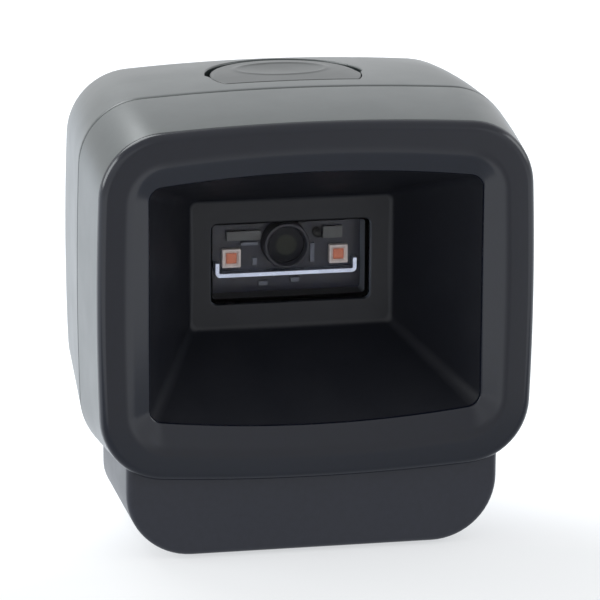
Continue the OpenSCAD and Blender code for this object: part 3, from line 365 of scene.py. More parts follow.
def node(tree, kind, inputs, **settings):
    """Adds a node of a kind with its settings and its inputs."""
    made = tree.nodes.new("ShaderNode" + kind)
    for key, value in settings.items():
        setattr(made, key, value)
    return wire(tree, made, inputs)


def place(tree):
    """The object coordinates, in metres."""
    return node(tree, "TexCoord", {}).outputs["Object"]


def noise(tree, size_mm, detail=2.0, stretch=(1, 1, 1)):
    """Noise on object coordinates whose features are about size_mm wide, longer where stretched."""
    scale = [1000 / size_mm / s for s in stretch]
    sized = node(tree, "Mapping", {"Vector": place(tree), "Scale": scale})
    return node(tree, "TexNoise", {"Vector": sized.outputs[0], "Scale": 1.0, "Detail": detail}).outputs["Fac"]


def shades(tree, value, stops, blend="LINEAR"):
    """Colours by a value, through stops of (value, colour)."""
    made = node(tree, "ValToRGB", {"Fac": value})
    made.color_ramp.interpolation = blend
    for k, (at, color) in enumerate(stops):
        stop = made.color_ramp.elements[k] if k < 2 else made.color_ramp.elements.new(1.0)
        stop.position, stop.color = at, (*color, 1)
    return made.outputs["Color"]


NOISE_LOW, NOISE_HIGH = 0.3, 0.7
print("nearly all of a noise lies between", NOISE_LOW, "and", NOISE_HIGH)


def spread(tree, value, low, high):
    """The noise's usual range stretched from low to high."""
    limits = {"From Min": NOISE_LOW, "From Max": NOISE_HIGH, "To Min": low, "To Max": high}
    return node(tree, "MapRange", {"Value": value, **limits}).outputs["Result"]


def tint(tree, value, dark, light):
    """Colours from dark to light over the noise's usual range."""
    return shades(tree, value, [(NOISE_LOW, dark), (NOISE_HIGH, light)])


def relief(tree, height, deep_mm):
    """The normal of a surface with a relief of this depth."""
    return node(tree, "Bump", {"Height": height, "Distance": deep_mm * 0.001}).outputs["Normal"]


def new_material(name):
    """A material, its network and its principled shader."""
    made = bpy.data.materials.new(name)
    made.use_nodes = True
    return made, made.node_tree, made.node_tree.nodes["Principled BSDF"]


# %% Moulded plastic
SHEEN_MM, SHADE_MM = 9, 1.2


def plastic(name, color, rough, grain_mm, grain_deep_mm, uneven=0.04, coat=0.0, coat_rough=0.12):
    """Moulded plastic: a grain in the bump, an uneven sheen and a change of shade by a tenth."""
    made, tree, shader = new_material(name)
    dark, light = [[c * share for c in color] for share in (0.9, 1.1)]
    wire(tree, shader, {
        "Roughness": spread(tree, noise(tree, SHEEN_MM), rough - uneven, rough + uneven),
        "Base Color": tint(tree, noise(tree, SHADE_MM, 3), dark, light),
        "Normal": relief(tree, noise(tree, grain_mm), grain_deep_mm),
        "Coat Weight": coat,
        "Coat Roughness": coat_rough,
    })
    return made


shell_satin = plastic("shell satin", (0.030, 0.040, 0.040), 0.34, 0.35, 0.004, coat=1.0, coat_rough=0.34)
base_satin = plastic("base satin", (0.020, 0.022, 0.034), 0.36, 0.35, 0.004, coat=0.4, coat_rough=0.36)
frame_gloss = plastic("frame gloss", (0.003, 0.005, 0.013), 0.20, 0.8, 0.0015, 0.02, 0.4, 0.14)
funnel_dark = plastic("funnel matte", (0.008, 0.009, 0.014), 0.46, 0.3, 0.006)
cover_matte = plastic("cover matte", (0.016, 0.017, 0.019), 0.55, 0.4, 0.01)
print("housing finishes:", [m.name for m in (shell_satin, base_satin, frame_gloss, funnel_dark, cover_matte)])

# %% [markdown]
# ## Painted light on the tunnel walls
# The photo shows a paler wall beside the imaging engine, where light falls on it. The walls belong to the
# same moulding as the funnel, so instead of a new piece the finish itself is painted paler there: painted
# light on a dark wall. It goes by depth, and by how far a wall faces sideways, so that the tunnel's floor and
# roof stay dark.


# %% Painted light on the tunnel walls
def paint_light_on_walls(material, depth_mm, color):
    """Painted light: a paler colour past a depth, mixed in by the size of the sideways part of the surface's
    normal.
    """
    tree = material.node_tree
    shader = tree.nodes["Principled BSDF"]
    start, end = to_scene([[0, depth_mm, 0], [0, depth_mm + 0.5, 0]])[:, 1]
    depth = node(tree, "SeparateXYZ", {0: place(tree)}).outputs["Y"]
    past = node(tree, "MapRange", {"Value": depth, "From Min": start, "From Max": end}).outputs["Result"]
    normal = node(tree, "NewGeometry", {}).outputs["True Normal"]
    facing = node(tree, "SeparateXYZ", {0: normal}).outputs["X"]
    sideways = node(tree, "Math", {0: facing}, operation="ABSOLUTE").outputs[0]
    share = node(tree, "Math", {0: sideways, 1: past}, operation="MULTIPLY").outputs[0]
    dark = shader.inputs["Base Color"].links[0].from_socket
    factor, first, second, result = 0, 6, 7, 2  # the Mix node's sockets for colours
    mixed = node(tree, "Mix", {factor: share, first: dark, second: (*color, 1)}, data_type="RGBA")
    wire(tree, shader, {"Base Color": mixed.outputs[result]})


# Painted light: a pale grey that stands for light falling on the tunnel's side walls past this depth.
TUNNEL_D, TUNNEL_PAINTED_LIGHT = 24.5, (0.20, 0.23, 0.28)
paint_light_on_walls(funnel_dark, TUNNEL_D, TUNNEL_PAINTED_LIGHT)
print("tunnel walls are paler past a depth of", TUNNEL_D, "mm")

# %% [markdown]
# ## Front frame
# The frame is one gloss moulding: a rounded outer edge, a flat band, and a slope that leads into the
# mouth. It could be an extruded frame with bevels, but its inner and outer outlines have different
# corners and bows. So nine rings, one per crease, are joined, and each crease gets its own radius.


# %% Outlines of the band, the mouth, the panel and the window
def centred(d, w, h, mid, corner, bow=0.0):
    """A section of the given width and height about a mid height."""
    return section(d, w / 2, mid - h / 2, mid + h / 2, corner, bow, 0.0)


def band_ring(d):
    """Inner edge of the frame's flat band."""
    return section(d, FRONT_W / 2 - 5.5, FRAME_LOW + 5.1, top_height(EDGE_D) - 5.1, 7.3, 1.5, SIDE_BOW)


def mouth_ring(d, grow=0.0):
    """Outline of the funnel's mouth."""
    return centred(d, 60.8 + 2 * grow, 46.6 + 2 * grow, VIEW_Z - 1.1, 2.6 + grow, 1.7)


def panel_ring(d, grow=0.0):
    """Outline of the panel at the funnel's end."""
    return centred(d, 38 + 2 * grow, 24.5 + 2 * grow, VIEW_Z, 1.5 + grow)


def window_ring(d, grow=0.0):
    """Outline of the window opening."""
    return centred(d, 29.9 + 2 * grow, 15.2 + 2 * grow, VIEW_Z, max(1.2 + grow, 0.2))


# %% Front frame
EDGE_R, SKIRT_D, SKIRT_WALL, MOUTH_D = 1.4, 5.6, 1.4, 2.4
SEAT = WALL + 0.1
turn = np.radians(np.linspace(0, 90, 9))
rounded_edge = list(head_ring(EDGE_R * (1 - np.cos(turn)), EDGE_R * (1 - np.sin(turn))))
rings = rounded_edge + [
    head_ring(EDGE_D - 0.12, 0.0), head_ring(EDGE_D, 0.12), head_ring(EDGE_D, SEAT), head_ring(SKIRT_D, SEAT),
    head_ring(SKIRT_D, SEAT + SKIRT_WALL), head_ring(MOUTH_D, SEAT + SKIRT_WALL),
    mouth_ring(MOUTH_D), mouth_ring(EDGE_D), band_ring(0.0),
]
cuts = [0] * len(rounded_edge) + [0, 0, 0, 0, 0, 0, 0, 0.45, 1.1]
piece("frame_skin", [closed_loft(rings, cuts, 7)], frame_gloss, ["front_frame"])

# %% [markdown]
# ## Reading funnel
# The funnel is a matte black box that narrows to a panel with the window in it. Matte black keeps
# stray light out of the picture. It is made as the frame is, as one closed stack of rings, with
# small radii where the walls meet the panel and round the window.

# %% Reading funnel
FUNNEL_WALL, PANEL_D, TUNNEL_END, LEDGE_D = 1.6, 24.6, 31.1, 27.1
walls = [
    (mouth_ring(MOUTH_D, 3.4), 0), (mouth_ring(MOUTH_D + FUNNEL_WALL, 3.4), 0),
    (mouth_ring(MOUTH_D + FUNNEL_WALL, FUNNEL_WALL), 0), (panel_ring(PANEL_D + FUNNEL_WALL, FUNNEL_WALL), 0),
    (window_ring(PANEL_D + FUNNEL_WALL, 1.3), 0), (window_ring(TUNNEL_END, 1.3), 0),
    (window_ring(TUNNEL_END, -0.6), 0), (window_ring(LEDGE_D, -0.6), 0), (window_ring(LEDGE_D), 0),
    (window_ring(PANEL_D), 0.35), (panel_ring(PANEL_D), 0.9), (mouth_ring(MOUTH_D), 0),
]
piece("funnel_skin", [closed_loft(*map(list, zip(*walls)))], funnel_dark, ["reading_funnel"])

# %% [markdown]
# ## Front shell
# The front shell is a short tube between the frame and the parting line. Both shells have a small
# bevel at the line, and together the two bevels draw the thin dark groove round the head.

# %% Front shell
stations = list(head_ring(np.array([EDGE_D + 0.1, 3.0, 5.6, 8.0, 10.5, 13.0, 15.5, 18.0, SPLIT_D - 0.45])))
inner = list(head_ring(np.array([18.0, 12.0, 5.6, EDGE_D]), WALL))
SEAM_STEP, TONGUE = 1.15, 1.6
rings = (
    [head_ring(EDGE_D, 0.1)] + stations
    + [head_ring(SPLIT_D, 0.4), head_ring(SPLIT_D, SEAM_STEP), head_ring(SPLIT_D + TONGUE, SEAM_STEP),
       head_ring(SPLIT_D + TONGUE, WALL)]
    + inner
)
cuts = [0] * len(stations) + [0.2, 0.15, 0, 0, 0] + [0] * len(inner)
piece("front_shell_skin", [closed_loft(rings, cuts)], shell_satin, ["front_shell"])

# %% [markdown]
# ## Rear shell
# The rear shell is the head's larger half, with a key slot in its top and four screw wells at its
# back. The slot is a circle cut straight at its front. The hole tools above cut it through the outer
# and the inner skin, and a wall with a rounded rim joins the two.


# %% Heights on the head's top and depths on its back
def top_skin(x, d, wall=0.0):
    """Points on the top: the section's highest point less its bow times the square of x over the chord."""
    e = eased(*head_shape(d, wall))
    return np.stack([x, d, e["high"] - e["bow"] * (x / e["chord"]) ** 2], -1)


def outside(x, z, d, wall):
    """How far (x, z) lies outside the section at depth d: past the corner's arc, the side or the top."""
    e = eased(*head_shape(d, wall))
    across = np.abs(x)
    middle = (e["z_top"] + e["z_low"]) / 2
    up = np.where(z > middle, z - e["z_top"], e["z_low"] - z)
    angle = np.arctan2(up, across - e["x"])
    side = across - (e["half"] - e["side_bow"] * ((z - middle) / e["rise"]) ** 2)
    crown = up + e["z_top"] - e["high"] + e["bow"] * (x / e["chord"]) ** 2
    corner = np.hypot(across - e["x"], up) - e["corner"]
    past_side = np.where(angle > math.pi / 2 - e["top_slope"], crown, corner)
    return np.where(angle < e["side_slope"], side, past_side)


def back_skin(x, z, wall=0.0):
    """Points on the rear rounding over (x, z): the depth is halved in on, thirty times."""
    near, far = np.full(np.shape(x), REAR_ARC_D - 8.0), np.full(np.shape(x), HEAD_DEPTH - wall - 1e-6)
    for _ in range(30):
        d = (near + far) / 2
        beyond = outside(x, z, d, wall) > 0
        near, far = np.where(beyond, near, d), np.where(beyond, d, far)
    return np.stack([x, near, z], -1)


# %% [markdown]
# ## Key slot
# The slot and the key share one outline: a circle with a straight front. Both are made by one
# function, so that the gap between them stays even. It is a narrow seam in front of the middle and a
# wide gap behind, where the key's rear edge swings down.

# %% Outline of the key and its slot
KEY_R, KEY_D, KEY_GAP, KEY_EDGE, KEY_SEAM, RAMP_MM = 13.8, 31.2, 0.9, 24.7, 0.3, 0.5


def key_outline(radius, straight, flat_edge, block, front_radius, ramp_mm=RAMP_MM):
    """A circle cut straight at a depth, with as many points as the edge of a block of the skin.

    Points over the block's front row go to the straight cut. The others go to the circle, each at its
    own angle about the middle, stretched a little so that the first and last meet the cut's ends. In
    front of the middle the radius is another one, and a ramp of a given length joins the two.
    """
    half = math.sqrt(front_radius**2 - (KEY_D - straight) ** 2)
    n = block[3] - block[2]
    x, y = flat_edge[:, 0], flat_edge[:, 1] - KEY_D
    angle = np.unwrap(np.arctan2(y, x))
    round_part = angle[n:] % (2 * math.pi)
    round_part = np.where(round_part > 1.5 * math.pi, round_part - 2 * math.pi, round_part)
    start, end = round_part[0], math.pi - round_part[0]
    full_start = math.pi + math.asin((KEY_D - straight) / front_radius)
    share = (round_part - math.pi / 2) / (start - math.pi / 2)
    round_part = math.pi / 2 + share * (full_start - math.pi / 2)
    cut_x = np.linspace(half, -half, n, endpoint=False)
    behind = np.clip(0.5 + radius * np.sin(round_part) / ramp_mm, 0, 1)
    reach = mix(front_radius, radius, behind)
    x = np.concatenate([cut_x, reach * np.cos(round_part)])
    d = np.concatenate([np.full(n, straight), KEY_D + reach * np.sin(round_part)])
    return np.stack([x, d], -1)


# %% Rear shell
straight_d = np.linspace(22.4, REAR_ARC_D, 17)
arc = np.radians(np.linspace(0, 90, 25))[1:]


def rear_rows(wall):
    """Sections from the parting line to the flat back, on the same depths' share inside and outside."""
    arc_d = REAR_ARC_D + (REAR_R - wall) * np.sin(arc)
    return np.concatenate([head_ring(straight_d, wall), head_ring(arc_d, wall)])


outer_rows, inner_rows = rear_rows(0.0), rear_rows(WALL)
outer_rows[-1, :, 1], inner_rows[-1, :, 1] = HEAD_DEPTH, HEAD_DEPTH - WALL
KEY_BLOCK = (0, 19, TOP_START + 10, TOP_START + 46)
row, col = block_edge(KEY_BLOCK)
SLOT_EDGE = KEY_EDGE - KEY_SEAM / 2
RIM_R = 0.35


def slot_outline(out, flat):
    """The slot's outline grown outwards: a narrow seam in front of the key's middle, a wide gap behind it."""
    return key_outline(KEY_R + KEY_GAP + out, SLOT_EDGE - out, flat, KEY_BLOCK, KEY_R + KEY_SEAM + out)


def slot_rings(rows, wall, blunt):
    """The block's edge seen from above, and the patch from it to the slot, wider by how blunt its rim is."""
    edge = rows[row, col]
    flat = edge[:, :2]
    rim = slot_outline(blunt, flat)
    patch = between((edge, flat), rim, lambda p: top_skin(p[..., 0], p[..., 1], wall))
    return flat, patch


flat_edge, outer_patch = slot_rings(outer_rows, 0.0, RIM_R)
inner_patch = slot_rings(inner_rows, WALL, 0.0)[1][::-1]
turns = np.linspace(0, math.pi / 2, 6)[1:]
rim = [
    np.concatenate([
        slot_outline(RIM_R * (1 - math.sin(a)), flat_edge),
        top_skin(*slot_outline(0.0, flat_edge).T)[:, 2:] - RIM_R * (1 - math.cos(a)),
    ], -1)
    for a in turns
]
slot_wall = np.concatenate([outer_patch, rim, inner_patch])
print("key slot wall:", slot_wall.shape, "rows and points round")


# %% [markdown]
# ## Screw wells
# Four screws join the shells from behind. Each sits in a round well with a rounded rim, and inside
# the shell the well is a tube. The rim follows the rear's curve, so its depth is found by halving.

# %% Screw wells at the back
WELL_R, WELL_FLOOR_D, SCREW_R, BOSS_END_D, TUBE_R = 2.9, 38.4, 1.4, 36.0, 4.2
WELLS = [(x, z) for x in (-31.5, 31.5) for z in (25.5, 72.0)]


def circle(x, z, radius, like):
    """Points of a circle, each at the angle that a point of another outline has about the same middle."""
    angle = np.arctan2(like[:, 1] - z, like[:, 0] - x)
    return np.stack([x + radius * np.cos(angle), z + radius * np.sin(angle)], -1)


def at_depth(flat, d):
    """Flat (x, z) points placed at a depth."""
    return np.stack([flat[:, 0], np.full(len(flat), d), flat[:, 1]], -1)


def well_block(x, z, rows, margin=1):
    """The smallest block of the grid that holds every point near the well, a row and a column wider."""
    near = np.hypot(rows[..., 0] - x, rows[..., 2] - z) < WELL_R + 0.55
    near[rows[..., 1] < REAR_ARC_D - 3] = False
    r, c = np.nonzero(near)
    return r.min() - margin, r.max() + margin, c.min() - margin, c.max() + margin


def well_skin(x, z, block):
    """The patch round a well, its rounded rim, its wall and its floor down to the screw's hole."""
    r, c = block_edge(block)
    edge = outer_rows[r, c]
    flat = edge[:, [0, 2]]
    rim = circle(x, z, WELL_R + RIM_R, flat)
    patch = between((edge, flat), rim, lambda p: back_skin(p[..., 0], p[..., 1]))
    inner = back_skin(*circle(x, z, WELL_R, flat).T)
    rounded = [
        np.concatenate([c2[:, :1], (inner[:, 1:2] - RIM_R * (1 - math.cos(a))), c2[:, 1:]], -1)
        for a in turns for c2 in [circle(x, z, WELL_R + RIM_R * (1 - math.sin(a)), flat)]
    ]
    floor = [at_depth(circle(x, z, q, flat), WELL_FLOOR_D) for q in (WELL_R, SCREW_R)]
    rows = np.concatenate([patch, rounded, floor, [at_depth(circle(x, z, SCREW_R, flat), BOSS_END_D)]])
    return [(rows, grid_faces(len(rows), len(flat)))] + cap(rows[-1])


def boss_skin(x, z):
    """The tube round a well inside the shell, from the end that the front shell's boss meets."""
    a = np.linspace(0, 6.2, 40)
    flat = np.stack([x + np.cos(a), z + np.sin(a)], -1)
    deep = back_skin(*circle(x, z, TUBE_R, flat).T, 1.1)
    shallow = back_skin(*circle(x, z, WELL_R + 0.05, flat).T, 1.1)
    rows = np.stack([
        at_depth(circle(x, z, SCREW_R, flat), BOSS_END_D),
        at_depth(circle(x, z, TUBE_R, flat), BOSS_END_D),
        deep, shallow,
        at_depth(circle(x, z, WELL_R + 0.05, flat), WELL_FLOOR_D - 0.05),
        at_depth(circle(x, z, SCREW_R, flat), WELL_FLOOR_D - 0.05),
    ])
    return rows, grid_faces(len(rows), len(flat), wrap_rows=True)


blocks = [well_block(x, z, outer_rows) for x, z in WELLS]
print("well blocks:", blocks)

# %% Put the rear shell together
# From the front: outer skin with five holes, back; the seam and the inner skin with one hole, front.
seam = np.stack([
    head_ring(SPLIT_D + TONGUE + 0.1, WALL), head_ring(SPLIT_D + TONGUE + 0.1, SEAM_STEP - 0.05),
    head_ring(SPLIT_D, SEAM_STEP - 0.05), head_ring(SPLIT_D, 0.45), head_ring(SPLIT_D + 0.08, 0.14),
    head_ring(SPLIT_D + 0.35, 0.0), head_ring(SPLIT_D + 1.1, 0.0),
])
outer_skin = (outer_rows, grid_faces(len(outer_rows), RING_N, holes=[KEY_BLOCK] + blocks))
inner_skin = (inner_rows, grid_faces(len(inner_rows), RING_N, holes=[KEY_BLOCK]))
ends = cap(outer_rows[-1]) + cap(inner_rows[-1])
seam_rows = np.concatenate([inner_rows[:1], seam, outer_rows[:1]])
parts = [
    outer_skin, inner_skin, *ends, (seam_rows, grid_faces(len(seam_rows), RING_N)),
    (slot_wall, grid_faces(len(slot_wall), len(row))),
    *[part for (x, z), block in zip(WELLS, blocks) for part in well_skin(x, z, block)],
    *[boss_skin(x, z) for x, z in WELLS],
]
piece("rear_shell_skin", parts, shell_satin, ["rear_shell"])

# %% [markdown]
# ## Trigger key
# The key carries the head's top on over its slot, so it is cut from the same surface. An oval dish
# in its middle takes the finger, and a low ridge runs round the dish. The key's rear edge rolls down
# in a wide lip. It hinges just behind its straight front edge, on a bar between two ears, and a stem
# under its rear presses a switch.

# %% Trigger key
KEY_UNDER_Z, DIMPLE_D, DIMPLE_X, DIMPLE_Y, DIMPLE_DEEP = 81.0, 35.0, 8.4, 5.6, 0.35
RIDGE_HIGH, RIDGE_SHARE = 0.13, 0.085


def key_face(flat):
    """Points on the key's top: the head's top less an oval dish, plus a low ridge round the dish.

    The dish is its depth times one less the square of the share of the way to its rim. The ridge is
    a bell curve about the rim: its height times e to the minus square of the share past it.
    """
    made = top_skin(flat[..., 0], flat[..., 1])
    reach = np.sqrt((flat[..., 0] / DIMPLE_X) ** 2 + ((flat[..., 1] - DIMPLE_D) / DIMPLE_Y) ** 2)
    made[..., 2] -= DIMPLE_DEEP * np.clip(1 - reach**2, 0, None)
    made[..., 2] += RIDGE_HIGH * np.exp(-(((reach - 1) / RIDGE_SHARE) ** 2))
    return made


KEY_CRACK, LIP_FRONT, LIP_REAR, LIP_DROP = 0.08, 0.25, 1.5, 0.55


def key_edge(share):
    """The key's outline drawn inwards by a share of its lip: wide behind the middle, narrow in front."""
    front, rear = LIP_FRONT * share, LIP_REAR * share
    front_r = KEY_R + KEY_SEAM - KEY_CRACK - front
    straight = SLOT_EDGE + KEY_CRACK + front
    return key_outline(KEY_R - rear, straight, flat_edge, KEY_BLOCK, front_r, RAMP_MM + 6 * share)


def lip_row(a):
    """The key's lip at one turn: an ellipse's quarter, drawn in by its width and down by its drop."""
    flat = key_edge(1 - math.cos(a))
    reach = np.clip((flat[:, 1] - SLOT_EDGE - 1.0) / 5.0, 0, 1)
    drop = mix(0.2, LIP_DROP, reach)
    return np.concatenate([flat, top_skin(*flat.T)[:, 2:] - (drop * (1 - math.sin(a)))[:, None]], -1)


lip = [lip_row(a) for a in np.linspace(0, math.pi / 2, 8)]
middle = np.array([0.0, DIMPLE_D])
start = key_edge(1.0)
way = (start - middle) / (DIMPLE_X, DIMPLE_Y)
oval = way / np.linalg.norm(way, axis=1, keepdims=True) * (DIMPLE_X, DIMPLE_Y)
face_rows = [key_face(mix(start, middle + oval * 1.24, t)) for t in np.linspace(0, 1, 7)[1:]]
shares = np.concatenate([np.linspace(1.22, 0.8, 26), np.linspace(0.76, 0.03, 12)])
face_rows += [key_face(middle + oval * share) for share in shares]
under = np.concatenate([key_edge(0.0), np.full((len(start), 1), KEY_UNDER_Z)], -1)
rows = np.stack([under] + lip + face_rows)


def box_skin(x0, x1, d0, d1, z0, z1, r=0.25):
    """A block with rounded upright edges: a rounded outline carried from z0 to z1, and both ends closed."""
    a = np.radians(np.arange(0, 360, 15) + 7.5)
    cx, cd = (x0 + x1) / 2, (d0 + d1) / 2
    out_x, out_d = np.sign(np.cos(a)), np.sign(np.sin(a))
    flat = np.stack([
        cx + out_x * ((x1 - x0) / 2 - r) + r * np.cos(a), cd + out_d * ((d1 - d0) / 2 - r) + r * np.sin(a)
    ], -1)
    rows = np.stack([np.concatenate([flat, np.full((24, 1), z)], -1) for z in (z0, z1)])
    return [(rows, grid_faces(2, 24))] + cap(rows[0]) + cap(rows[1])


def turned(path, radii, axis="x", n=32):
    """A circle of each radius at each station along an axis."""
    a = np.linspace(0, 2 * math.pi, n, endpoint=False)
    rows = []
    for (x, d, z), r in zip(path, radii):
        u, v = r * np.cos(a), r * np.sin(a)
        rows.append({
            "x": np.stack([x + 0 * u, d + u, z + v], -1),
            "d": np.stack([x + u, d + 0 * u, z + v], -1),
            "z": np.stack([x + u, d + v, z + 0 * u], -1),
        }[axis])
    return np.stack(rows)


def tube_skin(path, radii, axis="x", n=32):
    """A turned piece with both ends closed."""
    rows = turned(path, radii, axis, n)
    return [(rows, grid_faces(len(rows), n))] + cap(rows[0]) + cap(rows[-1])


PIVOT_D, PIVOT_Z, PIVOT_R, STEM_D, STEM_R = 27.25, 78.834, 1.4, 37.15, 1.5
key_low, key_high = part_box("trigger_key")
bar_ends, stem_low = (key_low[0] * 1000, key_high[0] * 1000), key_low[2] * 1000
print("pivot bar ends and stem foot, mm:", [round(v, 2) for v in (*bar_ends, stem_low)])
bar_x = [bar_ends[0], bar_ends[0] + 0.3, bar_ends[1] - 0.3, bar_ends[1]]
hanger = tube_skin([(x, PIVOT_D, PIVOT_Z) for x in bar_x], [PIVOT_R - 0.3, PIVOT_R, PIVOT_R, PIVOT_R - 0.3])
for side in (-1, 1):
    ear_x = side * 10.5
    hanger += box_skin(ear_x - 1, ear_x + 1, PIVOT_D - PIVOT_R, PIVOT_D + PIVOT_R, PIVOT_Z, KEY_UNDER_Z + 0.2)
stem_z = [stem_low, stem_low + 0.3, KEY_UNDER_Z + 0.2]
hanger += tube_skin([(0, STEM_D, z) for z in stem_z], [STEM_R - 0.3, STEM_R, STEM_R], "z")
key_parts = [(rows, grid_faces(len(rows), len(start)))] + cap(rows[-1]) + cap(under)
key_satin = plastic("key satin", (0.030, 0.035, 0.034), 0.36, 0.35, 0.004, coat=0.6, coat_rough=0.36)
piece("key_skin", key_parts + hanger, key_satin, ["trigger_key"], body="key")

# %% [markdown]
# ## Base
# The base is a block with large round lower corners seen from the front, and large round rear
# corners seen from above. Its top follows the head's underside. A box cut by two outlines would
# have a hard ridge where the two roundings meet, so the sides are worked out as one surface.

# %% Outline of the base
BASE_HALF, BASE_D0, BASE_D1, BASE_Z = 34.3, 3.5, 50.0, 0.6
BASE_CORNER, BASE_REAR_R, BASE_FRONT_R = 12.0, 22.0, 1.2
BASE_WALL, DECK_GAP = 2.2, 0.1
SIDE_ROWS, ARC_ROWS, FLOOR_ROWS, ROOF_ROWS = 14, 16, 30, 60


def underside(x, d, gap):
    """Height of the head's underside: its low point plus its bow, or its corner's arc past the chord."""
    e = eased(*head_shape(d, -gap))
    across = np.abs(x)
    flat = e["low"] + e["bow"] * (across / e["chord"]) ** 2
    round_part = e["z_low"] - np.sqrt(np.clip(e["corner"] ** 2 - (across - e["x"]) ** 2, 0, None))
    return np.where(across < e["chord"], flat, round_part)


def plan_half(d, wall):
    """Half the width seen from above: straight, then the quarter circle of the rear corner."""
    r, start = BASE_REAR_R - wall, BASE_D1 - BASE_REAR_R
    past = np.clip(d - start, 0, r)
    return BASE_HALF - wall - r + np.sqrt(r**2 - past**2)


def base_ring(d, wall, gap, trim=0.0, lift=0.0):
    """The base's section at depth d: down the right side, along the floor, up the left side, along the top.

    Its width is the smaller of the front outline's and the plan's. Where they cross, the smaller one
    is lowered by a quarter of the blend width times the square of how near they are, which rounds the ridge.
    """
    w = wall + trim
    r = BASE_CORNER - w
    z0, cz = BASE_Z + w + lift, BASE_Z + w + lift + r
    limit = plan_half(d, wall) - trim
    a = np.linspace(0, math.pi / 2, ARC_ROWS, endpoint=False)
    top = underside(np.array(min(limit, BASE_HALF - w)), d, gap) - gap
    down = np.linspace(float(top), cz, SIDE_ROWS, endpoint=False)
    floor_x = np.linspace(BASE_HALF - w - r, 0, FLOOR_ROWS // 2, endpoint=False)
    x = np.concatenate([np.full(SIDE_ROWS, BASE_HALF - w), BASE_HALF - w - r + r * np.cos(a), floor_x])
    z = np.concatenate([down, cz - r * np.sin(a), np.full(len(floor_x), z0)])
    blend = np.clip(1.2 * (BASE_HALF - w - limit), 1e-6, 2.4)
    near = np.clip(blend - np.abs(x - limit), 0, None) / blend
    x = np.minimum(x, limit) - near**2 * blend / 4
    half_top = x[0]
    roof_x = np.linspace(-half_top, half_top, ROOF_ROWS, endpoint=False)
    roof_z = underside(roof_x, np.full(ROOF_ROWS, d), gap) - gap
    z[0] = roof_z[0]
    ring_x = np.concatenate([x, [0.0], -x[::-1], roof_x[1:]])
    ring_z = np.concatenate([z, [z0], z[::-1], roof_z[1:]])
    return np.stack([ring_x, np.full(len(ring_x), d), ring_z], -1)


# %% Stations of the base
easing = np.linspace(0, math.pi / 2, 7)
straight = [5.6, 6.6, 7.6, 8.7, 10.0, 13.0, 18.0, 23.0, BASE_D1 - BASE_REAR_R]
rear_a = np.linspace(0, math.pi / 2, 26)[1:-1]
REAR_EASE = 0.8
stations = [
    (BASE_D0 + BASE_FRONT_R * (1 - math.sin(a)), BASE_FRONT_R * (1 - math.cos(a))) for a in easing[::-1]
]
stations += [(d, 0.0) for d in straight]
stations += [(straight[-1] + (BASE_REAR_R - REAR_EASE) * math.sin(a), 0.0) for a in rear_a]
stations += [(BASE_D1 - REAR_EASE * (1 - math.sin(a)), REAR_EASE * (1 - math.cos(a))) for a in easing]
outer = np.stack([base_ring(d, 0.0, DECK_GAP, trim) for d, trim in stations])
FLOOR_LIFT, DECK = 0.4, 2.3
inner_d = [BASE_D0 + BASE_WALL] + straight[1:]
inner_d += [straight[-1] + (BASE_REAR_R - BASE_WALL) * math.sin(a) for a in rear_a] + [BASE_D1 - BASE_WALL]
inner = np.stack([base_ring(d, BASE_WALL, DECK, 0.0, FLOOR_LIFT) for d in inner_d])
print("base:", outer.shape, "outside and", inner.shape, "inside, rows and points round")


# %% [markdown]
# ## Openings of the base
# Two holes are cut: a recess in the floor for the cover, with an opening to the inside, and one in
# the rear for the cable socket. Each point of a hole is the nearest point to one of the block's
# edge, which keeps the faces between them short and even.


# %% Openings of the base
def onto_rounded(flat, x_half, low, high, r):
    """The nearest point of a rounded rectangle: its corner's middle plus the radius towards the point."""
    middle = np.clip(flat, (-x_half + r, low + r), (x_half - r, high - r))
    way = flat - middle
    return middle + r * way / np.linalg.norm(way, axis=1, keepdims=True)


def level(flat, z):
    """Flat (x, depth) points placed at a height."""
    return np.concatenate([flat, np.full((len(flat), 1), z)], -1)


floor_columns = (SIDE_ROWS + ARC_ROWS, SIDE_ROWS + ARC_ROWS + FLOOR_ROWS)
outer_block = (6, int(np.searchsorted([d for d, _ in stations], 48.3)), *floor_columns)
inner_block = (0, outer_block[1] - outer_block[0], *floor_columns)
r, c = block_edge(outer_block)
edge = outer[r, c]
RECESS, OPENING = (21.15, 5.85, 47.15, 4.0), (18.0, 9.0, 44.0, 2.0)
recess = onto_rounded(edge[:, :2], *RECESS)
grown = onto_rounded(edge[:, :2], RECESS[0] + 0.3, RECESS[1] - 0.3, RECESS[2] + 0.3, RECESS[3] + 0.3)
hole = list(between((edge, edge[:, :2]), grown, lambda p: np.insert(p, 2, BASE_Z, axis=-1)))
for a in turns:
    hole.append(level(grown + (recess - grown) * math.sin(a), BASE_Z + 0.3 * (1 - math.cos(a))))
opening = onto_rounded(edge[:, :2], *OPENING)
hole += [level(recess, 2.2), level(opening, 2.2), level(opening, 3.2)]

r, c = block_edge(inner_block)
inner_hole = np.stack([level(opening, 3.2), inner[r, c]])

SOCKET_HOLE = (6.1, 5.45, 12.55, 0.4)


def socket_hole(ring, d, grow):
    """Rows from the last section, flat at its depth, in to the rim of the cable socket's opening."""
    x_half, low, high, r = SOCKET_HOLE
    rim = onto_rounded(ring[:, [0, 2]], x_half + grow, low - grow, high + grow, r + grow)
    steps = np.linspace(0, 1, 5)[:, None, None]
    rows = ring[:, [0, 2]] * (1 - steps) + rim * steps
    return np.insert(rows, 1, d, axis=-1)


back_rows = list(socket_hole(outer[-1], BASE_D1, 0.3))
for a in turns:
    back_rows.append(socket_hole(outer[-1], BASE_D1 - 0.3 * (1 - math.cos(a)), 0.3 * (1 - math.sin(a)))[-1])
back_rows.append(socket_hole(outer[-1], BASE_D1 - BASE_WALL, 0.0)[-1])
steps = np.linspace(0, 1, 5)[:, None, None]
inner_back = inner[-1] * (1 - steps) + back_rows[-1] * steps

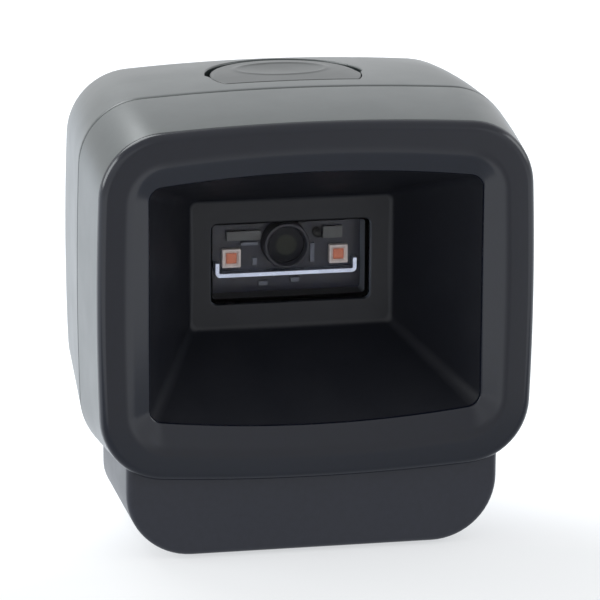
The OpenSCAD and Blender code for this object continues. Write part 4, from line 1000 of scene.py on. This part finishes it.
# %% Base housing
ring_count = outer.shape[1]
parts = [
    (outer, grid_faces(len(outer), ring_count, holes=[outer_block])), *cap(outer[0]),
    (inner, grid_faces(len(inner), ring_count, holes=[inner_block])), *cap(inner[0]),
    (np.stack(hole), grid_faces(len(hole), len(edge))), (inner_hole, grid_faces(2, len(edge))),
    (np.stack(back_rows), grid_faces(len(back_rows), ring_count)),
    (inner_back, grid_faces(len(inner_back), ring_count)),
]
piece("base_skin", parts, base_satin, ["base_housing"])

# %% [markdown]
# ## Other finishes
# Each finish below is one procedural material with the grain, sheen and small faults of the real
# one. Metals have a fine grain, drawn out along its length on the steel strip, rubber a dull grain, boards a
# weave.


# %% Metals, glass and boards
def metal(name, color, rough, grain_mm=0.5, deep_mm=0.002, stretch=(1, 1, 1)):
    """Metal with a fine grain and an uneven sheen."""
    made, tree, shader = new_material(name)
    grain = noise(tree, grain_mm, 3, stretch)
    wire(tree, shader, {
        "Metallic": 1.0,
        "Roughness": spread(tree, grain, rough * 0.7, rough * 1.3),
        "Base Color": tint(tree, noise(tree, 2.5, 3), [c * 0.85 for c in color], color),
        "Normal": relief(tree, grain, deep_mm),
    })
    return made


def glass(name, color, rough, ior):
    """Clear moulded or ground glass with a trace of haze that varies."""
    made, tree, shader = new_material(name)
    haze = noise(tree, 4, 3)
    wire(tree, shader, {
        "Transmission Weight": 1.0,
        "IOR": ior,
        "Roughness": spread(tree, haze, rough, rough + 0.02),
        "Base Color": tint(tree, haze, [c * 0.97 for c in color], color),
    })
    return made


def board(name, color, light):
    """A lacquered circuit board: a fine weave, and traces a little lighter than the ground."""
    made, tree, shader = new_material(name)
    cells = node(tree, "Mapping", {"Vector": place(tree), "Scale": (900, 900, 900)}).outputs[0]
    traces = node(tree, "TexVoronoi", {"Vector": cells, "Scale": 1.0}, distance="CHEBYCHEV", feature="F1")
    weave = noise(tree, 0.25)
    wire(tree, shader, {
        "Base Color": tint(tree, traces.outputs["Distance"], color, light),
        "Roughness": spread(tree, weave, 0.28, 0.42),
        "Normal": relief(tree, weave, 0.01),
    })
    return made


LENS_Z, LENS_R = 51.3, 3.4


def coated_lens(name):
    """Coated glass seen against a dark inside: an olive pupil, a dark ring round it, and a paler edge.

    The shade goes by the distance from the lens's axis, which runs along the depth at a height.
    """
    made, tree, shader = new_material(name)
    to_axis = {0: place(tree), 1: (1000, 0, 1000), 2: (0, 0, -LENS_Z)}
    flat = node(tree, "VectorMath", to_axis, operation="MULTIPLY_ADD").outputs[0]
    reach = node(tree, "VectorMath", {0: flat}, operation="LENGTH").outputs["Value"]
    share = node(tree, "MapRange", {"Value": reach, "From Max": LENS_R}).outputs["Result"]
    wire(tree, shader, {
        "Base Color": shades(tree, share, [
            (0.0, (0.020, 0.022, 0.019)), (0.50, (0.030, 0.034, 0.028)), (0.62, (0.005, 0.006, 0.010)),
            (0.82, (0.008, 0.009, 0.014)), (1.0, (0.02, 0.02, 0.026)),
        ]),
        "Roughness": spread(tree, noise(tree, 1.5, 3), 0.10, 0.18),
        "IOR": 1.2,
    })
    return made


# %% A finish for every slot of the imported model
finishes = {
    "window_clear": glass("window glass", (0.99, 0.99, 0.99), 0.0, 1.12),
    "seal_rubber": plastic("seal rubber", (0.01, 0.01, 0.01), 0.7, 0.3, 0.01),
    "cover_matte": cover_matte,
    "foot_rubber": plastic("foot rubber", (0.012, 0.012, 0.013), 0.75, 0.4, 0.02),
    "screw_steel": metal("screw steel", (0.62, 0.62, 0.60), 0.3),
    "insert_brass": metal("insert brass", (0.72, 0.52, 0.25), 0.3),
    "socket_black": plastic("socket black", (0.012, 0.012, 0.013), 0.45, 0.3, 0.006),
    "contact_gold": metal("contact gold", (0.85, 0.62, 0.25), 0.22),
    "board_green": board("green board", (0.01, 0.09, 0.035), (0.02, 0.14, 0.05)),
    "ribbon_film": plastic("ribbon film", (0.42, 0.20, 0.06), 0.35, 2.0, 0.004),
    "chip_black": plastic("chip black", (0.015, 0.015, 0.016), 0.5, 0.12, 0.004),
    "capacitor_can": metal("capacitor can", (0.7, 0.7, 0.7), 0.25, 0.4),
    "buzzer_black": plastic("buzzer black", (0.012, 0.012, 0.012), 0.5, 0.3, 0.006),
    "engine_navy": board("navy board", (0.0025, 0.004, 0.018), (0.004, 0.007, 0.028)),
    "part_silver": metal("part silver", (0.13, 0.14, 0.17), 0.4, 0.3),
    "connector_grey": plastic("connector grey", (0.10, 0.105, 0.11), 0.45, 0.2, 0.004),
    "strip_bright": metal("strip bright", (0.62, 0.68, 0.84), 0.3, 0.25, 0.003, (8, 1, 1)),
    "lamp_white": plastic("lamp white", (0.80, 0.72, 0.70), 0.4, 0.2, 0.004),
    "emitter_orange": plastic("emitter orange", (0.75, 0.22, 0.12), 0.3, 0.12, 0.004),
    "lens_clear": glass("lens clear", (0.95, 0.95, 0.92), 0.02, 1.49),
    "barrel_black": plastic("barrel black", (0.020, 0.022, 0.034), 0.4, 0.3, 0.004),
    "lens_coated": coated_lens("coated lens"),
    "chassis_dark": plastic("chassis dark", (0.012, 0.012, 0.014), 0.5, 0.3, 0.008),
    "sensor_dark": plastic("sensor dark", (0.015, 0.018, 0.03), 0.12, 0.4, 0.0),
    "switch_black": plastic("switch black", (0.012, 0.012, 0.012), 0.45, 0.3, 0.006),
    "plunger_red": plastic("plunger red", (0.45, 0.05, 0.02), 0.4, 0.3, 0.004),
    "shell_satin": shell_satin, "key_satin": key_satin, "base_satin": base_satin,
    "frame_gloss": frame_gloss, "funnel_dark": funnel_dark,
}
slot_of = {part["node"]: part["material_slot"] for part in frame["record"]["subparts"]}
for name, packed in frame["nodes"].items():
    for slot in packed.material_slots:
        slot.material = finishes[slot_of[name]]
print(len(frame["nodes"]), "packed pieces have their finishes")

# %% [markdown]
# ## What the window shows
# Behind the window sit a lens in its barrel and two lamps. The barrel is turned, with a cone that
# leads in to the lens. Each lamp is a pale square package with a shallow bowl round its orange chip.
# Turned pieces are a profile carried round an axis, and the lamps are squares of growing size.

# %% Lens barrel and lens
def along(profile):
    """Places on the lens's axis and radii, from a profile of (depth, radius)."""
    return [(0.0, d, LENS_Z) for d, _ in profile], [r for _, r in profile]


barrel_profile = [(39.2, 3.4), (39.2, 4.3), (28.5, 4.3)]
quarter = np.linspace(0, math.pi / 2, 7)
barrel_profile += [(28.5 - 0.3 * math.sin(a), 4.0 + 0.3 * math.cos(a)) for a in quarter[1:]]
barrel_profile += [(28.2, 3.8), (28.28, 3.72), (28.95, 3.44), (29.0, 3.4), (39.2, 3.4)]
barrel_rows = turned(*along(barrel_profile), "d", 64)
barrel_parts = [(barrel_rows, grid_faces(len(barrel_rows), 64))]
piece("barrel_skin", barrel_parts, finishes["barrel_black"], ["lens_barrel"])

lens_bow = [(29.0 + 0.45 * (r / 3.1) ** 2, r) for r in np.linspace(0.1, 3.1, 12)]
lens_profile = lens_bow + [(29.5, 3.3), (29.6, 3.39), (30.5, 3.39), (30.6, 3.3)]
lens_parts = tube_skin(*along(lens_profile), "d", 64)
piece("front_lens_skin", lens_parts, finishes["lens_coated"], ["front_lens"])

aimer_profile = [(29.2 + 0.35 * (r / 0.8) ** 2, r) for r in np.linspace(0.05, 0.8, 7)]
aimer_profile += [(29.6, 0.88), (31.2, 0.9)]
aimer_parts = tube_skin([(6.1, d, 53.1) for d, _ in aimer_profile], [r for _, r in aimer_profile], "d", 32)
piece("aimer_lens_skin", aimer_parts, finishes["lens_clear"], ["aimer_lens"])


# %% [markdown]
# ## Lamps
# A lamp is a moulded white package with a bowl that throws the light forwards, and an orange chip
# lies at the bowl's bottom. Both are stacks of squares with round corners.


# %% Lamps
def square_ring(x, z, d, half, corner):
    """A square with round corners about a point: a circle's points, moved out by the rest of the half."""
    a = np.radians(np.arange(0, 360, 7.5) + 3.75)
    out_x, out_z = np.sign(np.cos(a)), np.sign(np.sin(a))
    ring_x = x + out_x * (half - corner) + corner * np.cos(a)
    return np.stack([ring_x, np.full(len(a), d), z + out_z * (half - corner) + corner * np.sin(a)], -1)


def square_skin(x, z, stations):
    """A block of square sections, each with its depth, half width and corner, and both ends closed."""
    rows = np.stack([square_ring(x, z, *station) for station in stations])
    return [(rows, grid_faces(len(rows), rows.shape[1]))] + cap(rows[0]) + cap(rows[-1])


LAMP_X, LAMP_Z = 10.1, 48.9
package = [(31.2, 1.75, 0.2), (30.15, 1.75, 0.2), (30.04, 1.71, 0.2), (30.0, 1.6, 0.2)]
package += [(30.0, 1.4, 0.3), (30.05, 1.34, 0.32), (30.3, 1.05, 0.3), (30.4, 0.96, 0.06)]
chip = [(30.4, 0.95, 0.05), (30.2, 0.95, 0.05), (30.12, 0.93, 0.08), (30.06, 0.85, 0.1), (30.02, 0.6, 0.2)]
for side, name in ((-1, "left"), (1, "right")):
    lamp_parts, chip_parts = [square_skin(side * LAMP_X, LAMP_Z, stack) for stack in (package, chip)]
    piece(f"{name}_lamp_skin", lamp_parts, finishes["lamp_white"], [f"{name}_lamp"])
    piece(f"{name}_chip_skin", chip_parts, finishes["emitter_orange"], [f"{name}_emitter"])

# %% [markdown]
# ## Steel strip
# The strip is the folded edge of the engine's steel bracket: a thin sheet, bent up at both ends. Its
# front view is an outline of 0.7 mm sheet with round bends, carried back to the board. A curve with
# a bevel would do too, but it would round the sheet's edges, which are square on the real one.

# %% Steel strip
STRIP_HALF, STRIP_LOW, STRIP_TOP, SHEET, BEND_R = 13.3, 45.6, 48.3, 0.7, 0.9


def bend(x, z, r, start, end):
    """Points on a bend: a circle's arc about a middle, between two angles."""
    a = np.radians(np.linspace(start, end, 7))
    return np.stack([x + r * np.cos(a), z + r * np.sin(a)], -1)


end_x, mid_z = STRIP_HALF - BEND_R, STRIP_LOW + BEND_R
half_strip = np.concatenate([
    [[0.0, STRIP_LOW]], bend(end_x, mid_z, BEND_R, 270, 360),
    [[STRIP_HALF, STRIP_TOP], [STRIP_HALF - SHEET, STRIP_TOP]],
    bend(end_x, mid_z, BEND_R - SHEET, 360, 270), [[0.0, STRIP_LOW + SHEET]],
])
strip_outline = np.concatenate([half_strip, half_strip[-2:0:-1] * (-1, 1)])
strip_rows = np.stack([np.insert(strip_outline, 1, d, axis=-1) for d in (29.0, 31.2)])
strip_parts = [(strip_rows, grid_faces(2, len(strip_outline)))] + cap(strip_rows[0]) + cap(strip_rows[1])
piece("strip_skin", strip_parts, finishes["strip_bright"], ["shield_strip"])

# %% [markdown]
# ## Feet
# Four soft rubber pads are pressed into the cover. Their lower rim is rounded, as moulded pads are.

# %% Feet
FOOT_X, FOOT_D, FOOT_R, FOOT_H, FOOT_RIM = 15.5, (11.5, 41.5), 4.0, 1.2, 0.4
foot_profile = [(FOOT_RIM * (1 - math.cos(a)), FOOT_R - FOOT_RIM * (1 - math.sin(a))) for a in quarter]
foot_profile += [(FOOT_H, FOOT_R)]
for end, foot_d in zip(("front", "rear"), FOOT_D):
    for side, name in ((-1, "left"), (1, "right")):
        stations_up = [(side * FOOT_X, foot_d, z) for z, _ in foot_profile]
        foot_parts = tube_skin(stations_up, [r for _, r in foot_profile], "z", 64)
        foot = f"foot_{end}_{name}"
        piece(f"{foot}_skin", foot_parts, finishes["foot_rubber"], [foot])

# %% [markdown]
# ## Room
# The scanner was photographed in a white tent, so its gloss mirrors pale cloth from nearly all
# round. An image of a room could light it, but a few ramps say the same in words. The camera sees
# white, as it does through clear glass. Gloss sees a brightness that goes by direction, darker in
# front and straight above, as the photo's reflections show. A ray switch is one for the rays that it
# names and a half for all others, so every other ray sees an even mix of both its sides.

# %% White room
COOL, OTHER_RAYS = (0.93, 0.98, 1.04), 0.5


def ray_switch(tree, *kinds):
    """One where the ray is any of the given kinds, and a half elsewhere: the largest of them all."""
    rays, made = node(tree, "LightPath", {}), OTHER_RAYS
    for kind in kinds:
        made = node(tree, "Math", {0: rays.outputs[kind], 1: made}, operation="MAXIMUM").outputs[0]
    return made


def mix_shaders(tree, share, first, second):
    """The first shader where the share is nought, the second where it is one."""
    return node(tree, "MixShader", {0: share, 1: first, 2: second}).outputs[0]


def ramp(tree, value, stops, shade=(1, 1, 1)):
    """A shade by a value, eased through stops of (value, brightness)."""
    low, high = stops[0][0], stops[-1][0]
    share = node(tree, "MapRange", {"Value": value, "From Min": low, "From Max": high}).outputs["Result"]
    stops = [((at - low) / (high - low), [bright * c for c in shade]) for at, bright in stops]
    return shades(tree, share, stops, "EASE")


def nearer_side(tree, axes, share, middle=0.0):
    """How far a point lies behind the front, plus a share of how far it lies to either side of a middle."""
    offset = node(tree, "Math", {0: axes.outputs["X"], 1: middle}, operation="SUBTRACT").outputs[0]
    side = node(tree, "Math", {0: offset}, operation="ABSOLUTE").outputs[0]
    return node(tree, "Math", {0: side, 1: share, 2: axes.outputs["Y"]}, operation="MULTIPLY_ADD").outputs[0]


world = bpy.data.worlds.new("white room")
bpy.context.scene.world = world
world.use_nodes = True
tree = world.node_tree
tree.nodes.clear()
axes = node(tree, "SeparateXYZ", {0: node(tree, "TexCoord", {}).outputs["Generated"]})
behind = ramp(tree, nearer_side(tree, axes, 1.3, 0.12), [(-0.86, 0.0), (-0.74, 0.3), (-0.5, 1.0)], COOL)
above = ramp(tree, axes.outputs["Z"], [(-0.2, 1.0), (-0.02, 0.55), (0.12, 0.48), (0.4, 0.76), (0.7, 0.2)])
mirrored = node(tree, "VectorMath", {0: behind, 1: above}, operation="MULTIPLY").outputs[0]
light, tent, white = [
    node(tree, "Background", {"Color": color, "Strength": strength}).outputs[0]
    for color, strength in (((0.96, 0.99, 1.0, 1), 0.5), (mirrored, 1.0), ((1, 1, 1, 1), 1.0))
]
room = mix_shaders(tree, ray_switch(tree, "Is Glossy Ray"), light, tent)
room = mix_shaders(tree, ray_switch(tree, "Is Camera Ray", "Is Transmission Ray"), room, white)
node(tree, "OutputWorld", {"Surface": room})
print("white room:", len(tree.nodes), "nodes")

# %% [markdown]
# ## Floor
# The floor is white paper that keeps the soft shadow under the base. A little light of its own
# lifts it to the white of the background. Gloss sees it darker near the scanner, as the photo's
# reflections do: a painted shade in the paper's own glow, where the scanner shades it. Gloss sees through it
# past a line in front, where the paper is taken to end.

# %% Floor
FLOOR_HALF, PAPER_END = 3, -0.11
floor_mesh = bpy.data.meshes.new("floor")
corners = [(FLOOR_HALF * x, FLOOR_HALF * y, 0) for x, y in ((-1, -1), (1, -1), (1, 1), (-1, 1))]
floor_mesh.from_pydata(corners, [], [(0, 1, 2, 3)])
floor = bpy.data.objects.new("floor", floor_mesh)
bpy.context.scene.collection.objects.link(floor)
paper, tree, shader = new_material("white paper")
wire(tree, shader, {"Base Color": (0.8, 0.8, 0.8, 1), "Roughness": 0.9, "Specular IOR Level": 0.0})
axes = node(tree, "SeparateXYZ", {0: place(tree)})
away = nearer_side(tree, axes, 0.4)
# Painted shade: the glow that gloss sees on the paper is darker near the scanner, where its shade falls.
gloss_glow_painted_shade = ramp(tree, away, [(PAPER_END, 0.55), (-0.05, 0.42), (-0.02, 0.45), (0.03, 1.0)], COOL)
lifted = node(tree, "Emission", {"Strength": 0.75}).outputs[0]
lit = node(tree, "AddShader", {0: shader.outputs[0], 1: lifted}).outputs[0]
plain = mix_shaders(tree, ray_switch(tree, "Is Camera Ray"), shader.outputs[0], lit)
on_paper = node(tree, "Math", {0: axes.outputs["Y"], 1: PAPER_END}, operation="GREATER_THAN").outputs[0]
open_front = node(tree, "BsdfTransparent", {}).outputs[0]
in_gloss = mix_shaders(tree, on_paper, open_front, node(tree, "Emission", {"Color": gloss_glow_painted_shade}).outputs[0])
surface = mix_shaders(tree, ray_switch(tree, "Is Glossy Ray"), plain, in_gloss)
wire(tree, tree.nodes["Material Output"], {"Surface": surface})
floor_mesh.materials.append(paper)
print("floor:", 2 * FLOOR_HALF, "m wide")

# %% [markdown]
# ## Soft lamps
# Three large square lamps stand for the tent's lit sides: left, behind above, and a weak one right.
# Large lamps give the soft shadows and broad sheens of the photo, where small ones give hard spots.


# %% Soft lamps
def soft_lamp(name, place, size, watts, aim=(0, 0, 0.05)):
    """A square lamp at a place, turned to a point in the scanner's middle."""
    data = bpy.data.lights.new(name, "AREA")
    data.shape, data.size, data.energy, data.color = "SQUARE", size, watts, (0.95, 0.99, 1.0)
    lamp = bpy.data.objects.new(name, data)
    bpy.context.scene.collection.objects.link(lamp)
    facing = (Vector(aim) - Vector(place)).to_track_quat("-Z", "Y").to_matrix().to_4x4()
    lamp.matrix_world = Matrix.Translation(place) @ facing
    print(f"{name}: {size} m wide, {watts} W")


soft_lamp("left_lamp", (-1.1, 0.15, 0.5), 0.7, 5.5)
soft_lamp("rear_lamp", (-0.4, 0.7, 1.1), 0.8, 6.0)
soft_lamp("right_lamp", (1.1, -0.2, 0.5), 0.6, 2.0)

# %% [markdown]
# ## Camera
# The camera's place and its long lens were fitted to the photo's outlines, so that the frame's
# edges converge as they do there. A small roll brings the base's foot level with the photo's.

# %% Camera
camera_data = bpy.data.cameras.new("camera")
camera = bpy.data.objects.new("camera", camera_data)
bpy.context.scene.collection.objects.link(camera)
bpy.context.scene.camera = camera
eye, target = Vector((-0.1608, -0.7744, 0.2511)), Vector((-0.00348, -0.030, 0.04853))
roll = math.radians(0.36)
facing = (target - eye).to_track_quat("-Z", "Y").to_matrix().to_4x4()
camera.matrix_world = Matrix.Translation(eye) @ facing @ Matrix.Rotation(roll, 4, "Z")
camera_data.sensor_width, camera_data.lens, camera_data.clip_start = 36.0, 264.9, 0.01
bpy.context.scene.view_settings.view_transform = "Standard"
print("camera:", round((target - eye).length, 3), "m from its target")
